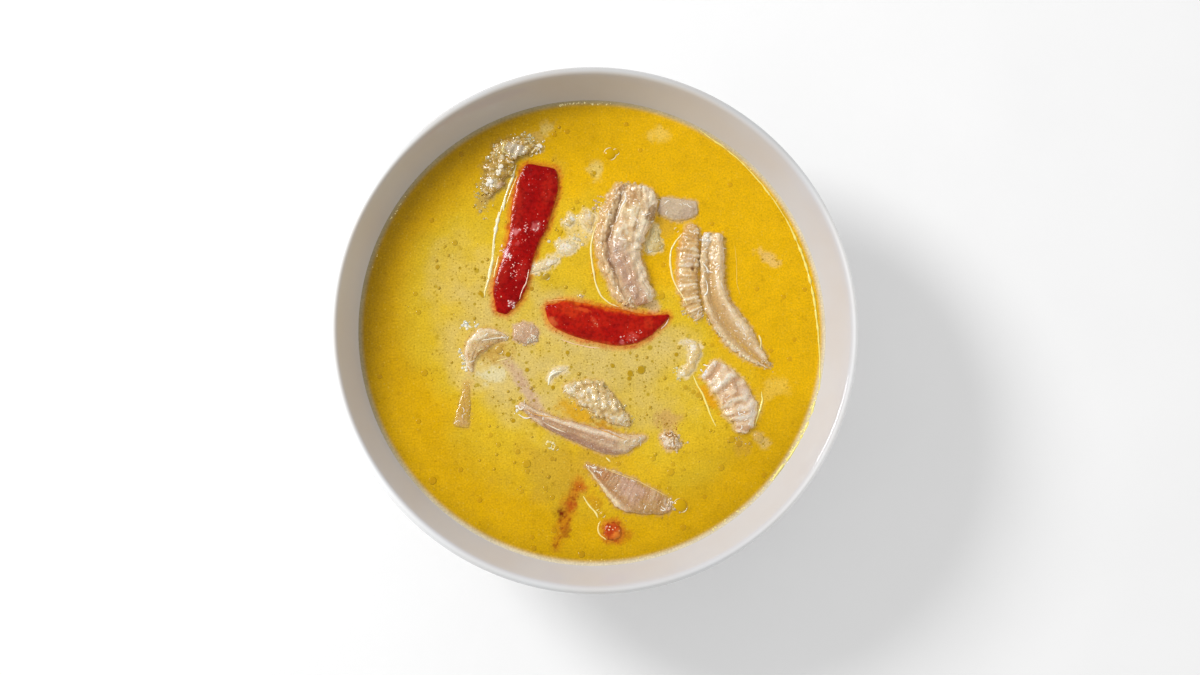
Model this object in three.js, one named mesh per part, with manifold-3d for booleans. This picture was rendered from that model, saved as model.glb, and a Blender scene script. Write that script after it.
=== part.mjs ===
// A bowl of tripe soup: a white glazed bowl, the golden soup that fills it to just under the lip,
// two strips and a scrap of red pepper, and the tripe that floats at the surface.
// Sizes are in millimetres and +Z is up. The origin is the middle of the foot ring, where it stands.

import * as THREE from 'three';
import { mergeVertices } from 'three/addons/utils/BufferGeometryUtils.js';
import Module from 'manifold-3d';

const wasm = await Module();
wasm.setup();

// Bowl
const RIM_RADIUS = 88;
const BOWL_HEIGHT = 57;
const LIP_THICKNESS = 3;
const BASE_THICKNESS = 5;
const FLOOR_HEIGHT = 7;
const FLOOR_REACH = 58; // length of the level handle that starts the inner curve
const WALL_REACH = 36; // length of the leaning handle that ends it at the lip
const WALL_LEAN = THREE.MathUtils.degToRad(31); // lean of the wall from upright, at the lip
const FOOT_RADIUS = 41;
const FOOT_WIDTH = 4.5;
const FOOT_TAPER = 0.8;

// Facets of the bowl and soup: round the axis, and along each stretch of the section
const BOWL_SIDES = 48;
const UNDERSIDE_STEPS = 3;
const OUTER_STEPS = 7;
const LIP_STEPS = 5;
const INNER_STEPS = 10;
const SOUP_STEPS = 7;

// Soup
const SOUP_LEVEL = 45;
const WALL_CREEP = 0.8; // how far the soup climbs where it wets the wall
const CREEP_WIDTH = 2.6;
const CREEP_POWER = 3; // 1 is a straight slope, more is a hollower one
const CREEP_SHARES = [0.35, 1]; // places on that slope, from the wall to the level soup
const GAP = 0.3; // clearance between pieces that touch

// Section of a floating piece: 1 is an ellipse, less is squarer
const SQUARENESS = 0.8;

// The lumps of frilly tripe are three waves that cross at a sixth of a turn, out of step
const CROSSING = Math.PI / 3;
const WAVE_SHIFTS = [0, 2, 4];

// How finely a share is found by halving, and how small a ring counts as a pole
const HALVINGS = 40;
const POLE_RING = 1e-4;

// Colours and gloss
const PORCELAIN = { color: 0xf1efed, roughness: 0.12, metalness: 0 };
const BROTH = { color: 0xe0ac1c, roughness: 0.18, metalness: 0 };
const PEPPER = { color: 0xa81c12, roughness: 0.28, metalness: 0 };
const TRIPE = { color: 0xd8bd95, roughness: 0.5, metalness: 0 };
const TRIPE_PALE = { color: 0xe2cbad, roughness: 0.45, metalness: 0 };
const TRIPE_MAUVE = { color: 0xc9a384, roughness: 0.5, metalness: 0 };

// Every floating piece is a soft bar along a spine. A spine point is [x, y, lift, width]: its place
// seen from above, the height of the piece's waist over the soup, and the piece's width there.
// rise and sink are how far the piece reaches over and under its waist. blunt is 1 for a round end
// and near 0 for a cut one. tilt leans the section, in degrees, up on the left of the spine.
// groove and ridge run along the top at a place across it, from -1 on the right to 1 on the left.
// ribs cross the top, and knobs are the lumps of frilly tripe, with their spacing and height.
const PIECES = [
  {
    name: 'pepper_long', finish: PEPPER, around: 12, along: 16, rise: 1.5, sink: 2.6, blunt: 0.2, tilt: 3,
    spine: [
      [-18.0, 56.0, 0.2, 14.0], [-19.2, 49.3, 0.2, 15.2], [-22.0, 37.0, 0.2, 13.2], [-24.4, 28.5, 0.1, 10.2],
      [-27.9, 16.7, 0.1, 11.4], [-29.5, 11.2, 0, 10.0], [-31.1, 5.6, -0.3, 5.5],
    ],
  },
  {
    name: 'pepper_short', finish: PEPPER, around: 12, along: 14, rise: 1.7, sink: 2.8, blunt: 0.3, tilt: 4,
    spine: [
      [-16.0, 8.0, 0, 3.0], [-12.4, 5.8, 0.1, 9.8], [-6.2, 3.9, 0.3, 11.8], [2.9, 1.9, 0.3, 12.4],
      [11.0, 0.9, 0.3, 12.0], [17.4, 1.9, 0.2, 9.0], [25.5, 5.3, -0.1, 2.0],
    ],
  },
  {
    name: 'pepper_bit', finish: PEPPER, around: 8, along: 6, rise: 1.5, sink: 2.4, blunt: 0.9,
    spine: [[3.2, -67.4, 0, 6.2], [9.4, -67.2, 0, 6.2]],
  },
  {
    name: 'tripe_folded', finish: TRIPE_PALE, around: 14, along: 18, rise: 3.0, sink: 4.4, blunt: 0.18,
    groove: { at: -0.43, width: 0.16, depth: 1.9 }, knobs: { spacing: 4.2, height: 0.45 }, tilt: 5,
    spine: [
      [13.2, 49.6, 0.2, 16.0], [12.8, 43.7, 0.6, 18.4], [11.2, 38.6, 0.8, 18.2], [9.0, 32.6, 0.9, 16.8],
      [8.3, 26.6, 0.8, 15.2], [10.2, 20.6, 0.6, 13.8], [12.6, 14.8, 0.3, 13.4], [15.2, 11.2, 0, 12.2],
      [16.0, 8.8, -0.3, 11.0],
    ],
  },
  {
    name: 'tripe_lobe', finish: TRIPE_PALE, around: 8, along: 7, rise: 0.8, sink: 1.6, blunt: 0.7,
    spine: [[-2.9, 41.2, 0, 3.0], [-2.2, 38.0, 0.2, 4.8], [-1.3, 33.8, 0, 2.4]],
  },
  {
    name: 'tripe_chip', finish: TRIPE, around: 10, along: 8, rise: 0.9, sink: 1.8, blunt: 0.12,
    spine: [[22.3, 43.1, 0, 6.4], [28.5, 41.3, 0.1, 7.8], [35.2, 42.1, 0, 5.8]],
  },
  {
    name: 'tripe_tag', finish: TRIPE_PALE, around: 8, along: 8, rise: 0.9, sink: 1.5, blunt: 0.4,
    spine: [[20.8, 35.8, 0.1, 3.0], [20.6, 32.4, 0.2, 3.2], [20.4, 29.4, 0.1, 6.2], [20.5, 27.0, 0, 6.4]],
  },
  {
    name: 'tripe_ribbed', finish: TRIPE, around: 10, along: 20, rise: 2.1, sink: 3.6, blunt: 0.28,
    ribs: { count: 8, depth: 0.5 }, tilt: 4,
    spine: [
      [33.8, 36.4, 0.2, 5.8], [32.4, 30.6, 0.5, 7.0], [32.0, 22.5, 0.5, 7.2], [32.0, 15.1, 0.3, 6.8],
      [33.6, 8.8, 0.1, 6.4], [35.8, 4.2, -0.3, 4.8],
    ],
  },
  {
    name: 'tripe_trough', finish: TRIPE_PALE, around: 12, along: 18, rise: 1.9, sink: 3.8, blunt: 0.15,
    groove: { at: -0.25, width: 0.35, depth: 1.5 }, ridge: { at: 0.62, width: 0.3, height: 0.8 },
    spine: [
      [40.6, 33.4, 0.3, 8.0], [40.3, 25.2, 0.4, 8.4], [40.3, 18.0, 0.4, 8.6], [41.4, 11.0, 0.3, 9.0],
      [44.9, 4.2, 0.2, 10.4], [49.1, -1.5, 0.1, 10.4], [53.4, -6.4, -0.1, 7.8], [59.4, -11.8, -0.3, 2.6],
    ],
  },
  {
    name: 'tripe_block', finish: TRIPE_PALE, around: 12, along: 14, rise: 2.5, sink: 4.0, blunt: 0.2,
    ribs: { count: 4.5, depth: 0.5 }, knobs: { spacing: 4.6, height: 0.3 }, tilt: -4,
    spine: [
      [38.5, -12.4, 0.1, 9.4], [43.0, -16.2, 0.4, 10.6], [46.8, -20.9, 0.5, 11.4], [49.4, -25.8, 0.4, 12.0],
      [50.6, -30.4, 0.2, 8.2], [49.9, -34.2, -0.2, 4.6],
    ],
  },
  {
    name: 'tripe_lump', finish: TRIPE_PALE, around: 8, along: 6, rise: 0.6, sink: 1.6, blunt: 0.9,
    spine: [[54.6, -33.9, 0, 2.8], [56.6, -37.6, 0, 3.0]],
  },
  {
    name: 'tripe_curl', finish: TRIPE_PALE, around: 8, along: 14, rise: 0.9, sink: 1.5, blunt: 0.6,
    spine: [
      [28.9, -3.6, -0.1, 2.4], [32.6, -4.0, 0.1, 3.4], [34.2, -6.4, 0.2, 3.6], [33.2, -10.4, 0.2, 2.8],
      [31.6, -13.4, 0.1, 3.4], [28.9, -15.0, 0, 2.6],
    ],
  },
  {
    name: 'tripe_long', finish: TRIPE_MAUVE, around: 12, along: 18, rise: 1.8, sink: 3.4, blunt: 0.45,
    ridge: { at: 0.5, width: 0.35, height: 0.7 }, tilt: 14,
    spine: [
      [-24.8, -24.6, 0.1, 3.2], [-20.0, -28.1, 0.3, 4.2], [-13.6, -31.5, 0.4, 5.4], [-6.2, -34.2, 0.5, 6.4],
      [1.9, -37.0, 0.6, 7.8], [7.2, -38.2, 0.5, 8.0], [12.4, -37.4, 0.3, 6.2], [17.6, -35.6, -0.2, 2.4],
    ],
  },
  {
    name: 'tripe_honeycomb', finish: TRIPE, around: 12, along: 14, rise: 1.9, sink: 3.4, blunt: 0.5,
    knobs: { spacing: 3.4, height: 0.5 },
    spine: [
      [-10.2, -19.3, -0.1, 4.0], [-2.6, -21.0, 0.3, 9.8], [2.2, -24.0, 0.5, 9.6], [6.6, -27.6, 0.5, 8.2],
      [12.4, -31.6, 0, 3.4],
    ],
  },
  {
    name: 'tripe_shred', finish: TRIPE_PALE, around: 8, along: 8, rise: 0.7, sink: 1.2, blunt: 0.7,
    spine: [[-14.9, -17.2, 0, 1.6], [-13.6, -14.2, 0.2, 2.2], [-8.4, -12.5, 0, 2.0]],
  },
  {
    name: 'tripe_wedge', finish: TRIPE_MAUVE, around: 12, along: 12, rise: 0.9, sink: 2.0, blunt: 0.35,
    ridge: { at: -0.8, width: 0.3, height: 0.5 }, tilt: -3,
    spine: [
      [-2.6, -45.2, 0.1, 1.6], [2.6, -48.6, 0.2, 6.0], [7.3, -51.8, 0.2, 9.8], [12.0, -54.9, 0.1, 12.0],
      [17.4, -56.7, 0, 10.4], [22.4, -58.0, -0.1, 8.6], [26.2, -59.2, -0.2, 6.6],
    ],
  },
  {
    name: 'tripe_bent', finish: TRIPE_PALE, around: 10, along: 16, rise: 1.4, sink: 2.2, blunt: 0.5,
    tilt: -16,
    spine: [
      [-28.6, -2.9, -0.2, 2.6], [-32.8, -2.4, 0.3, 5.0], [-36.8, -3.1, 0.7, 7.0], [-39.6, -5.4, 0.7, 6.8],
      [-41.4, -9.2, 0.4, 4.6], [-41.0, -14.4, -0.2, 2.4],
    ],
  },
  {
    name: 'tripe_tail', finish: TRIPE_MAUVE, around: 8, along: 8, rise: 0.8, sink: 1.2, blunt: 0.2,
    spine: [[-42.3, -17.2, -0.5, 2.6], [-42.9, -23.3, -0.4, 3.8], [-44.2, -32.8, -0.2, 6.8]],
  },
  {
    name: 'tripe_scrap', finish: TRIPE, around: 10, along: 8, rise: 0.8, sink: 1.8, blunt: 0.3,
    knobs: { spacing: 3.6, height: 0.2 },
    spine: [[-27.0, -1.0, 0, 5.6], [-22.9, -1.2, 0.1, 7.2], [-18.8, -1.8, 0, 5.8]],
  },
  {
    name: 'tripe_frilly', finish: TRIPE, around: 10, along: 18, rise: 1.6, sink: 2.8, blunt: 0.6,
    knobs: { spacing: 3.2, height: 0.5 },
    spine: [
      [-18.0, 61.8, -0.1, 3.6], [-24.4, 62.3, 0.3, 6.8], [-30.0, 59.9, 0.4, 7.8], [-32.5, 55.0, 0.3, 8.2],
      [-34.0, 50.0, 0.1, 7.4], [-36.6, 44.2, -0.2, 4.0],
    ],
  },
  {
    name: 'tripe_crumb', finish: TRIPE, around: 8, along: 8, rise: 1.1, sink: 1.8, blunt: 0.7,
    spine: [[22.8, -34.8, 0, 2.8], [25.6, -37.2, 0.2, 5.6], [28.9, -38.8, 0, 3.2]],
  },
  {
    name: 'tripe_sliver', finish: TRIPE_PALE, around: 8, along: 8, rise: 0.7, sink: 1.2, blunt: 0.6,
    spine: [[-20.9, 19.9, 0, 2.2], [-16.6, 22.2, 0.1, 3.4], [-11.8, 24.5, 0, 2.2]],
  },
  {
    name: 'tripe_flake', finish: TRIPE_PALE, around: 8, along: 8, rise: 0.6, sink: 1.3, blunt: 0.7,
    spine: [[-13.0, 29.4, 0, 3.4], [-9.2, 28.1, 0.1, 4.8], [-5.2, 29.0, 0, 2.8]],
  },
  {
    name: 'tripe_nub', finish: TRIPE_PALE, around: 8, along: 6, rise: 1.0, sink: 1.4, blunt: 0.9,
    spine: [[-10.0, 36.2, 0, 2.8], [-6.6, 38.4, 0, 3.2]],
  },
];

// The inner face of the bowl, from the middle of the floor out and up to the lip, as x = radius
// and y = height.
const lipMiddle = new THREE.Vector2(RIM_RADIUS - LIP_THICKNESS / 2, BOWL_HEIGHT - LIP_THICKNESS / 2);
const wallUp = new THREE.Vector2(Math.sin(WALL_LEAN), Math.cos(WALL_LEAN));
const wallOut = new THREE.Vector2(wallUp.y, -wallUp.x);
const lipInner = lipMiddle.clone().addScaledVector(wallOut, -LIP_THICKNESS / 2);
const innerCurve = new THREE.CubicBezierCurve(
  new THREE.Vector2(0, FLOOR_HEIGHT),
  new THREE.Vector2(FLOOR_REACH, FLOOR_HEIGHT),
  lipInner.clone().addScaledVector(wallUp, -WALL_REACH),
  lipInner,
);

// A point of the wall at the share t of the inner curve, moved outwards by a distance.
function wallPoint(t, distance) {
  const tangent = innerCurve.getTangent(t);
  return innerCurve.getPoint(t).add(new THREE.Vector2(tangent.y, -tangent.x).multiplyScalar(distance));
}

// The outer face at the share t: the wall thins evenly from the floor to the lip.
const outerPoint = (t) => wallPoint(t, THREE.MathUtils.lerp(BASE_THICKNESS, LIP_THICKNESS, t));

// The share t at which a rising measure of the curve reaches a goal, found by halving.
function shareWhere(measure, goal) {
  let low = 0;
  let high = 1;
  for (let step = 0; step < HALVINGS; step += 1) {
    const middle = (low + high) / 2;
    if (measure(middle) < goal) low = middle;
    else high = middle;
  }
  return (low + high) / 2;
}

// Points of a curve at even steps from one share to another, both ends included.
function sweep(pointAt, from, to, steps) {
  return Array.from({ length: steps + 1 }, (_, i) => pointAt(THREE.MathUtils.lerp(from, to, i / steps)));
}

// A closed solid of revolution about the Z axis, from a profile that starts and ends on the axis.
function turned(profile) {
  return new THREE.LatheGeometry(profile, BOWL_SIDES).rotateX(Math.PI / 2);
}

function bowlGeometry() {
  const footInner = FOOT_RADIUS - FOOT_WIDTH;
  const underside = sweep(outerPoint, 0, shareWhere((t) => outerPoint(t).x, footInner), UNDERSIDE_STEPS);
  const outerWall = sweep(outerPoint, shareWhere((t) => outerPoint(t).x, FOOT_RADIUS), 1, OUTER_STEPS);
  const foot = [
    new THREE.Vector2(footInner + FOOT_TAPER, 0),
    new THREE.Vector2(FOOT_RADIUS - FOOT_TAPER, 0),
    new THREE.Vector2(FOOT_RADIUS - FOOT_TAPER / 2, FOOT_TAPER),
  ];
  const lip = sweep((share) => {
    const angle = share * Math.PI;
    return lipMiddle.clone()
      .addScaledVector(wallOut, (Math.cos(angle) * LIP_THICKNESS) / 2)
      .addScaledVector(wallUp, (Math.sin(angle) * LIP_THICKNESS) / 2);
  }, 1 / LIP_STEPS, 1 - 1 / LIP_STEPS, LIP_STEPS - 2);
  const inside = sweep((t) => wallPoint(t, 0), 1, 0, INNER_STEPS);
  underside[0].x = 0;
  inside[inside.length - 1].x = 0;
  return turned([...underside, ...foot, ...outerWall, ...lip, ...inside]);
}

// The soup before the floating pieces are taken out of it: the bowl's inner face less the gap,
// closed by a level top that creeps up the wall at its edge.
function soupGeometry() {
  const inside = (t) => wallPoint(t, -GAP);
  const edgeShare = shareWhere((t) => inside(t).y, SOUP_LEVEL + WALL_CREEP);
  const wetted = sweep(inside, 0, edgeShare, SOUP_STEPS);
  const edge = wetted[wetted.length - 1];
  wetted[0].x = 0;
  const creep = CREEP_SHARES.map((share) => new THREE.Vector2(
    edge.x - share * CREEP_WIDTH,
    SOUP_LEVEL + WALL_CREEP * (1 - share) ** CREEP_POWER,
  ));
  return turned([...wetted, ...creep, new THREE.Vector2(0, SOUP_LEVEL)]);
}

// A bell of height 1 around a place across the section.
const bell = (u, { at, width }) => Math.exp(-(((u - at) / width) ** 2));

// Height that the features of a piece add to its top, at u across it and share t along it.
function relief(piece, u, t) {
  let height = 0;
  if (piece.groove) height -= piece.groove.depth * bell(u, piece.groove);
  if (piece.ridge) height += piece.ridge.height * bell(u, piece.ridge);
  if (piece.ribs) height -= (piece.ribs.depth * (1 - Math.cos(2 * Math.PI * piece.ribs.count * t))) / 2;
  return height;
}

// Lumps of about the given spacing at a point, from -1 to 1: the mean of the three crossed waves.
function lumps(x, y, z, spacing) {
  const turns = (2 * Math.PI) / spacing;
  const [along, across] = [Math.cos(CROSSING) * x, Math.sin(CROSSING) * y];
  const waves = [x, along + across, across - along + z];
  return waves.reduce((sum, way, i) => sum + Math.sin(turns * way + WAVE_SHIFTS[i]), 0) / waves.length;
}

// A floating piece: a unit sphere whose poles become the two ends. Each ring of the sphere is laid
// across the spine as a section that is squarer than an ellipse, and swells by the piece's features.
function pieceGeometry(piece) {
  const spine = new THREE.CatmullRomCurve3(
    piece.spine.map(([x, y, lift]) => new THREE.Vector3(x, y, lift)),
  );
  const widths = new THREE.CatmullRomCurve3(
    piece.spine.map(([, , , width]) => new THREE.Vector3(width, 0, 0)), false, 'catmullrom',
  );
  const middle = spine.getPoint(0.5).setZ(0);
  const tilt = THREE.MathUtils.degToRad(piece.tilt ?? 0);
  const halfStep = Math.PI / piece.around;
  const geometry = new THREE.SphereGeometry(1, piece.around, piece.along, halfStep);
  const position = geometry.getAttribute('position');
  const squared = (value) => Math.sign(value) * Math.abs(value) ** SQUARENESS;
  for (let i = 0; i < position.count; i += 1) {
    const share = (1 - position.getY(i)) / 2;
    const ring = Math.sqrt(Math.max(0, 1 - position.getY(i) ** 2));
    const cap = ring < POLE_RING ? 0 : ring ** piece.blunt;
    const u = cap && squared(position.getX(i) / ring);
    const v = cap && squared(position.getZ(i) / ring);
    const centre = spine.getPoint(share);
    const ahead = spine.getTangent(share).setZ(0).normalize();
    let side = (u * cap * widths.getPoint(share).x) / 2;
    let height = v * cap * (v > 0 ? piece.rise + relief(piece, u, share) : piece.sink);
    if (piece.knobs) {
      const swell = cap * lumps(centre.x + side, centre.y, height, piece.knobs.spacing)
        * piece.knobs.height;
      side += u * swell;
      height += v * swell;
    }
    const across = side * Math.cos(tilt) - height * Math.sin(tilt);
    const up = side * Math.sin(tilt) + height * Math.cos(tilt);
    position.setXYZ(
      i, centre.x - ahead.y * across - middle.x, centre.y + ahead.x * across - middle.y, centre.z + up,
    );
  }
  return { geometry: welded(geometry), middle };
}

// The same surface with each shared vertex kept once and its empty triangles dropped.
function welded(geometry) {
  geometry.deleteAttribute('normal');
  geometry.deleteAttribute('uv');
  const merged = mergeVertices(geometry);
  const index = merged.getIndex().array;
  const corners = [];
  for (let i = 0; i < index.length; i += 3) {
    const [a, b, c] = index.subarray(i, i + 3);
    if (a !== b && b !== c && c !== a) corners.push(a, b, c);
  }
  merged.setIndex(corners);
  merged.computeVertexNormals();
  return merged;
}

// A welded surface grown outwards along its normals, which is what a piece takes out of the soup.
function grown(geometry, distance) {
  const larger = geometry.clone();
  const position = larger.getAttribute('position');
  const normal = larger.getAttribute('normal');
  for (let i = 0; i < position.count; i += 1) {
    position.setXYZ(
      i,
      position.getX(i) + distance * normal.getX(i),
      position.getY(i) + distance * normal.getY(i),
      position.getZ(i) + distance * normal.getZ(i),
    );
  }
  return larger;
}

function solidOf(geometry) {
  const vertProperties = Float32Array.from(geometry.getAttribute('position').array);
  const triVerts = Uint32Array.from(geometry.getIndex().array);
  return new wasm.Manifold(new wasm.Mesh({ numProp: 3, vertProperties, triVerts }));
}

function geometryOf(solid) {
  const mesh = solid.getMesh();
  const geometry = new THREE.BufferGeometry();
  geometry.setAttribute('position', new THREE.BufferAttribute(mesh.vertProperties, 3));
  geometry.setIndex(new THREE.BufferAttribute(mesh.triVerts, 1));
  geometry.computeVertexNormals();
  return geometry;
}

function meshOf(name, geometry, finish) {
  const mesh = new THREE.Mesh(geometry, new THREE.MeshStandardMaterial(finish));
  mesh.name = name;
  return mesh;
}

const model = new THREE.Group();
const floating = new THREE.Group();
floating.position.z = SOUP_LEVEL;

let soup = solidOf(welded(soupGeometry()));
for (const piece of PIECES) {
  const { geometry, middle } = pieceGeometry(piece);
  const mesh = meshOf(piece.name, geometry, piece.finish);
  mesh.position.copy(middle);
  floating.add(mesh);
  soup = soup.subtract(solidOf(grown(geometry, GAP).translate(middle.x, middle.y, SOUP_LEVEL)));
}

model.add(meshOf('bowl', welded(bowlGeometry()), PORCELAIN));
model.add(meshOf('soup', geometryOf(soup), BROTH));
model.add(floating);

export default model;
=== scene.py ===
"""A bowl of tripe soup: glazed bowl, golden soup, strips of red pepper and floating tripe.

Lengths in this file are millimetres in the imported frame, with +Z up and the origin in the middle of
the foot ring. They become metres where a mesh is made. Colours are sRGB, from 0 to 255.
"""

import logging
import math
from collections.abc import Callable
from dataclasses import dataclass
from enum import Enum

import bpy
import numpy as np
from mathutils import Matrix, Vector


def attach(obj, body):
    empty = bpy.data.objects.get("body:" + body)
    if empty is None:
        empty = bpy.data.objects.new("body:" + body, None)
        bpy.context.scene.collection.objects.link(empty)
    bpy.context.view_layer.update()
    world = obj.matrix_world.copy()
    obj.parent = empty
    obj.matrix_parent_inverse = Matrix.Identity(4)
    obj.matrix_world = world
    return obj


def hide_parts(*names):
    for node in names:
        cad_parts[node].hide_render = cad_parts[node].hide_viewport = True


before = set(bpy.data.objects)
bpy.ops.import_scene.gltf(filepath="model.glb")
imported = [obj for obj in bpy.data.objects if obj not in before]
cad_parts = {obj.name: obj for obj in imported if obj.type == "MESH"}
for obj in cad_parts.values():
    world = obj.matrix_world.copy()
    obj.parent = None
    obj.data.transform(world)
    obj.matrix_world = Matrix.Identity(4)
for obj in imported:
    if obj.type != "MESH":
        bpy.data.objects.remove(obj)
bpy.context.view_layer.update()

log = logging.getLogger("soup")
logging.basicConfig(level=logging.INFO, format="%(message)s")

MM = 0.001
BODY = "root"
LEVEL = 45.0  # height of the soup

Tint = tuple[int, int, int]
Place = tuple[float, float]
Range = tuple[float, float]

CREAM: Tint = (234, 214, 184)
HASH_PRIMES = (73856093, 19349663, 83492791)
HASH_SEED = 2654435761
HASH_STIRS = ((13, 1274126177), (16, 2246822519))
HASH_BITS = 0xFFFFFFFF
OCTAVE_FALL = 0.55  # height of each finer octave of noise beside the one before


def linear(tint: Tint) -> np.ndarray:
    """An sRGB colour as linear light: the standard curve, a line near black and a power above it."""
    share = np.asarray(tint, float) / 255
    return np.where(share <= 0.04045, share / 12.92, ((share + 0.055) / 1.055) ** 2.4)


def smooth(low: float, high: float, value: np.ndarray) -> np.ndarray:
    """A soft step from 0 at low to 1 at high: 3t^2 - 2t^3 of the clipped share t."""
    share = np.clip((value - low) / (high - low), 0, 1)
    return share * share * (3 - 2 * share)


def blend(under: np.ndarray, over: np.ndarray, mask: np.ndarray) -> np.ndarray:
    """One colour laid over another where the mask is 1."""
    return under + (over - under) * np.clip(mask, 0, 1)[..., None]


def hashed(cell: np.ndarray, seed: int) -> np.ndarray:
    """A fixed random number from 0 to 1 for every whole-numbered cell.

    Formula: the coordinates times large primes are combined bit by bit, then stirred twice.

    Args:
        cell: cell coordinates, the last axis holding x, y and z.
        seed: a number that picks one of many patterns.

    Returns:
        An array without the last axis.
    """
    x, y, z = (cell[..., axis].astype(np.int64) * prime for axis, prime in enumerate(HASH_PRIMES))
    mixed = (x ^ y ^ z ^ (seed * HASH_SEED)) & HASH_BITS
    for bits, factor in HASH_STIRS:
        mixed = ((mixed ^ (mixed >> bits)) * factor) & HASH_BITS
    return ((mixed ^ (mixed >> 15)) & 0xFFFFFF) / float(0x1000000)


def noise(points: np.ndarray, seed: int) -> np.ndarray:
    """Smooth random values from -1 to 1, about one lump to a unit.

    Formula: each cell corner has a random value, and a point blends its cell's eight corners.

    Args:
        points: places, the last axis holding x, y and z.
        seed: picks the pattern.

    Returns:
        An array without the last axis.
    """
    base = np.floor(points)
    share = points - base
    share = share * share * (3 - 2 * share)
    total = np.zeros(points.shape[:-1])
    for corner in np.ndindex(2, 2, 2):
        weight = np.prod(np.where(np.array(corner) == 1, share, 1 - share), axis=-1)
        total += weight * hashed(base + np.array(corner), seed)
    return total * 2 - 1


def layered(points: np.ndarray, seed: int, octaves: int = 3) -> np.ndarray:
    """Noise with finer noise on it: each octave is half the size and OCTAVE_FALL of the height."""
    total = np.zeros(points.shape[:-1])
    height = 1.0
    for octave in range(octaves):
        total += height * noise(points * 2**octave, seed + octave)
        height *= OCTAVE_FALL
    return total / 1.6


def level_places(x: np.ndarray, y: np.ndarray) -> np.ndarray:
    """Places for the noise, all at height 0."""
    return np.stack([x, y, np.zeros_like(x)], axis=-1)


def window(value: np.ndarray, ends: Range, fade: float) -> np.ndarray:
    """1 between two ends, fading to 0 round each of them."""
    low, high = ends
    return smooth(low - fade, low + fade, value) * smooth(high + fade, high - fade, value)


def nearest_centre(points: np.ndarray, seed: int) -> tuple[np.ndarray, np.ndarray]:
    """Distance to the nearest of the centres scattered one to a unit cell, and that centre's number.

    Args:
        points: places, the last axis holding x, y and z.
        seed: picks the pattern.

    Returns:
        The distance, and a random number from 0 to 1 that belongs to the centre.
    """
    base = np.floor(points)
    best = np.full(points.shape[:-1], 9.0)
    owner = np.zeros(points.shape[:-1])
    for shift in np.ndindex(3, 3, 3):
        cell = base + np.array(shift) - 1
        centre = cell + np.stack([hashed(cell, seed + axis) for axis in range(3)], axis=-1)
        distance = np.linalg.norm(points - centre, axis=-1)
        nearer = distance < best
        best = np.where(nearer, distance, best)
        owner = np.where(nearer, hashed(cell, seed + 7), owner)
    return best, owner


def spline(knots: np.ndarray, share: np.ndarray, centripetal: bool) -> np.ndarray:
    """Points of a smooth curve through the knots.

    Formula: between two knots a cubic joins them, with the slopes that the neighbours give. The
    centripetal kind spaces its knots by the root of their distance, as the floating pieces' spines do.

    Args:
        knots: one row a knot.
        share: where on the curve, from 0 at the first knot to 1 at the last.
        centripetal: whether the knots' distances count.

    Returns:
        One row for each share.
    """
    ends = np.vstack([2 * knots[0] - knots[1], knots, 2 * knots[-1] - knots[-2]])
    place = np.clip(share, 0, 1) * (len(knots) - 1)
    index = np.minimum(place.astype(int), len(knots) - 2)
    t = (place - index)[:, None]
    before, start, end, after = (ends[index + i] for i in range(4))
    if centripetal:
        gaps = [np.linalg.norm(b - a, axis=1)[:, None] ** 0.5 for a, b in
                ((before, start), (start, end), (end, after))]
        leave = ((start - before) / gaps[0] - (end - before) / (gaps[0] + gaps[1])) * gaps[1] + end - start
        reach = ((after - end) / gaps[2] - (after - start) / (gaps[1] + gaps[2])) * gaps[1] + end - start
    else:
        leave, reach = (end - before) / 2, (after - start) / 2
    rise = end - start
    return start + leave * t + (3 * rise - 2 * leave - reach) * t**2 + (leave + reach - 2 * rise) * t**3


def ring_faces(rows: int, columns: int) -> np.ndarray:
    """Quads between the rows of a grid whose columns close round."""
    row, column = np.mgrid[0:rows - 1, 0:columns]
    beside = (column + 1) % columns
    return np.stack([row * columns + column, row * columns + beside,
                     (row + 1) * columns + beside, (row + 1) * columns + column], axis=-1).reshape(-1, 4)


def sheet_faces(rows: int, columns: int) -> np.ndarray:
    """Quads of an open grid."""
    row, column = np.mgrid[0:rows - 1, 0:columns - 1]
    first = row * columns + column
    return np.stack([first, first + 1, first + columns + 1, first + columns], axis=-1).reshape(-1, 4)


def fan_faces(ring: np.ndarray, tip: int) -> np.ndarray:
    """Triangles that close a ring of points onto one point."""
    return np.stack([ring, np.roll(ring, -1), np.full(len(ring), tip)], axis=-1)


def tube_faces(rows: int, columns: int) -> list[np.ndarray]:
    """Faces of closed rings, with a fan at each end onto one of the two points that follow them."""
    first, count = np.arange(columns), rows * columns
    fans = [fan_faces(first[::-1], count), fan_faces(count - columns + first, count + 1)]
    return [np.vstack(fans), ring_faces(rows, columns)]


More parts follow.
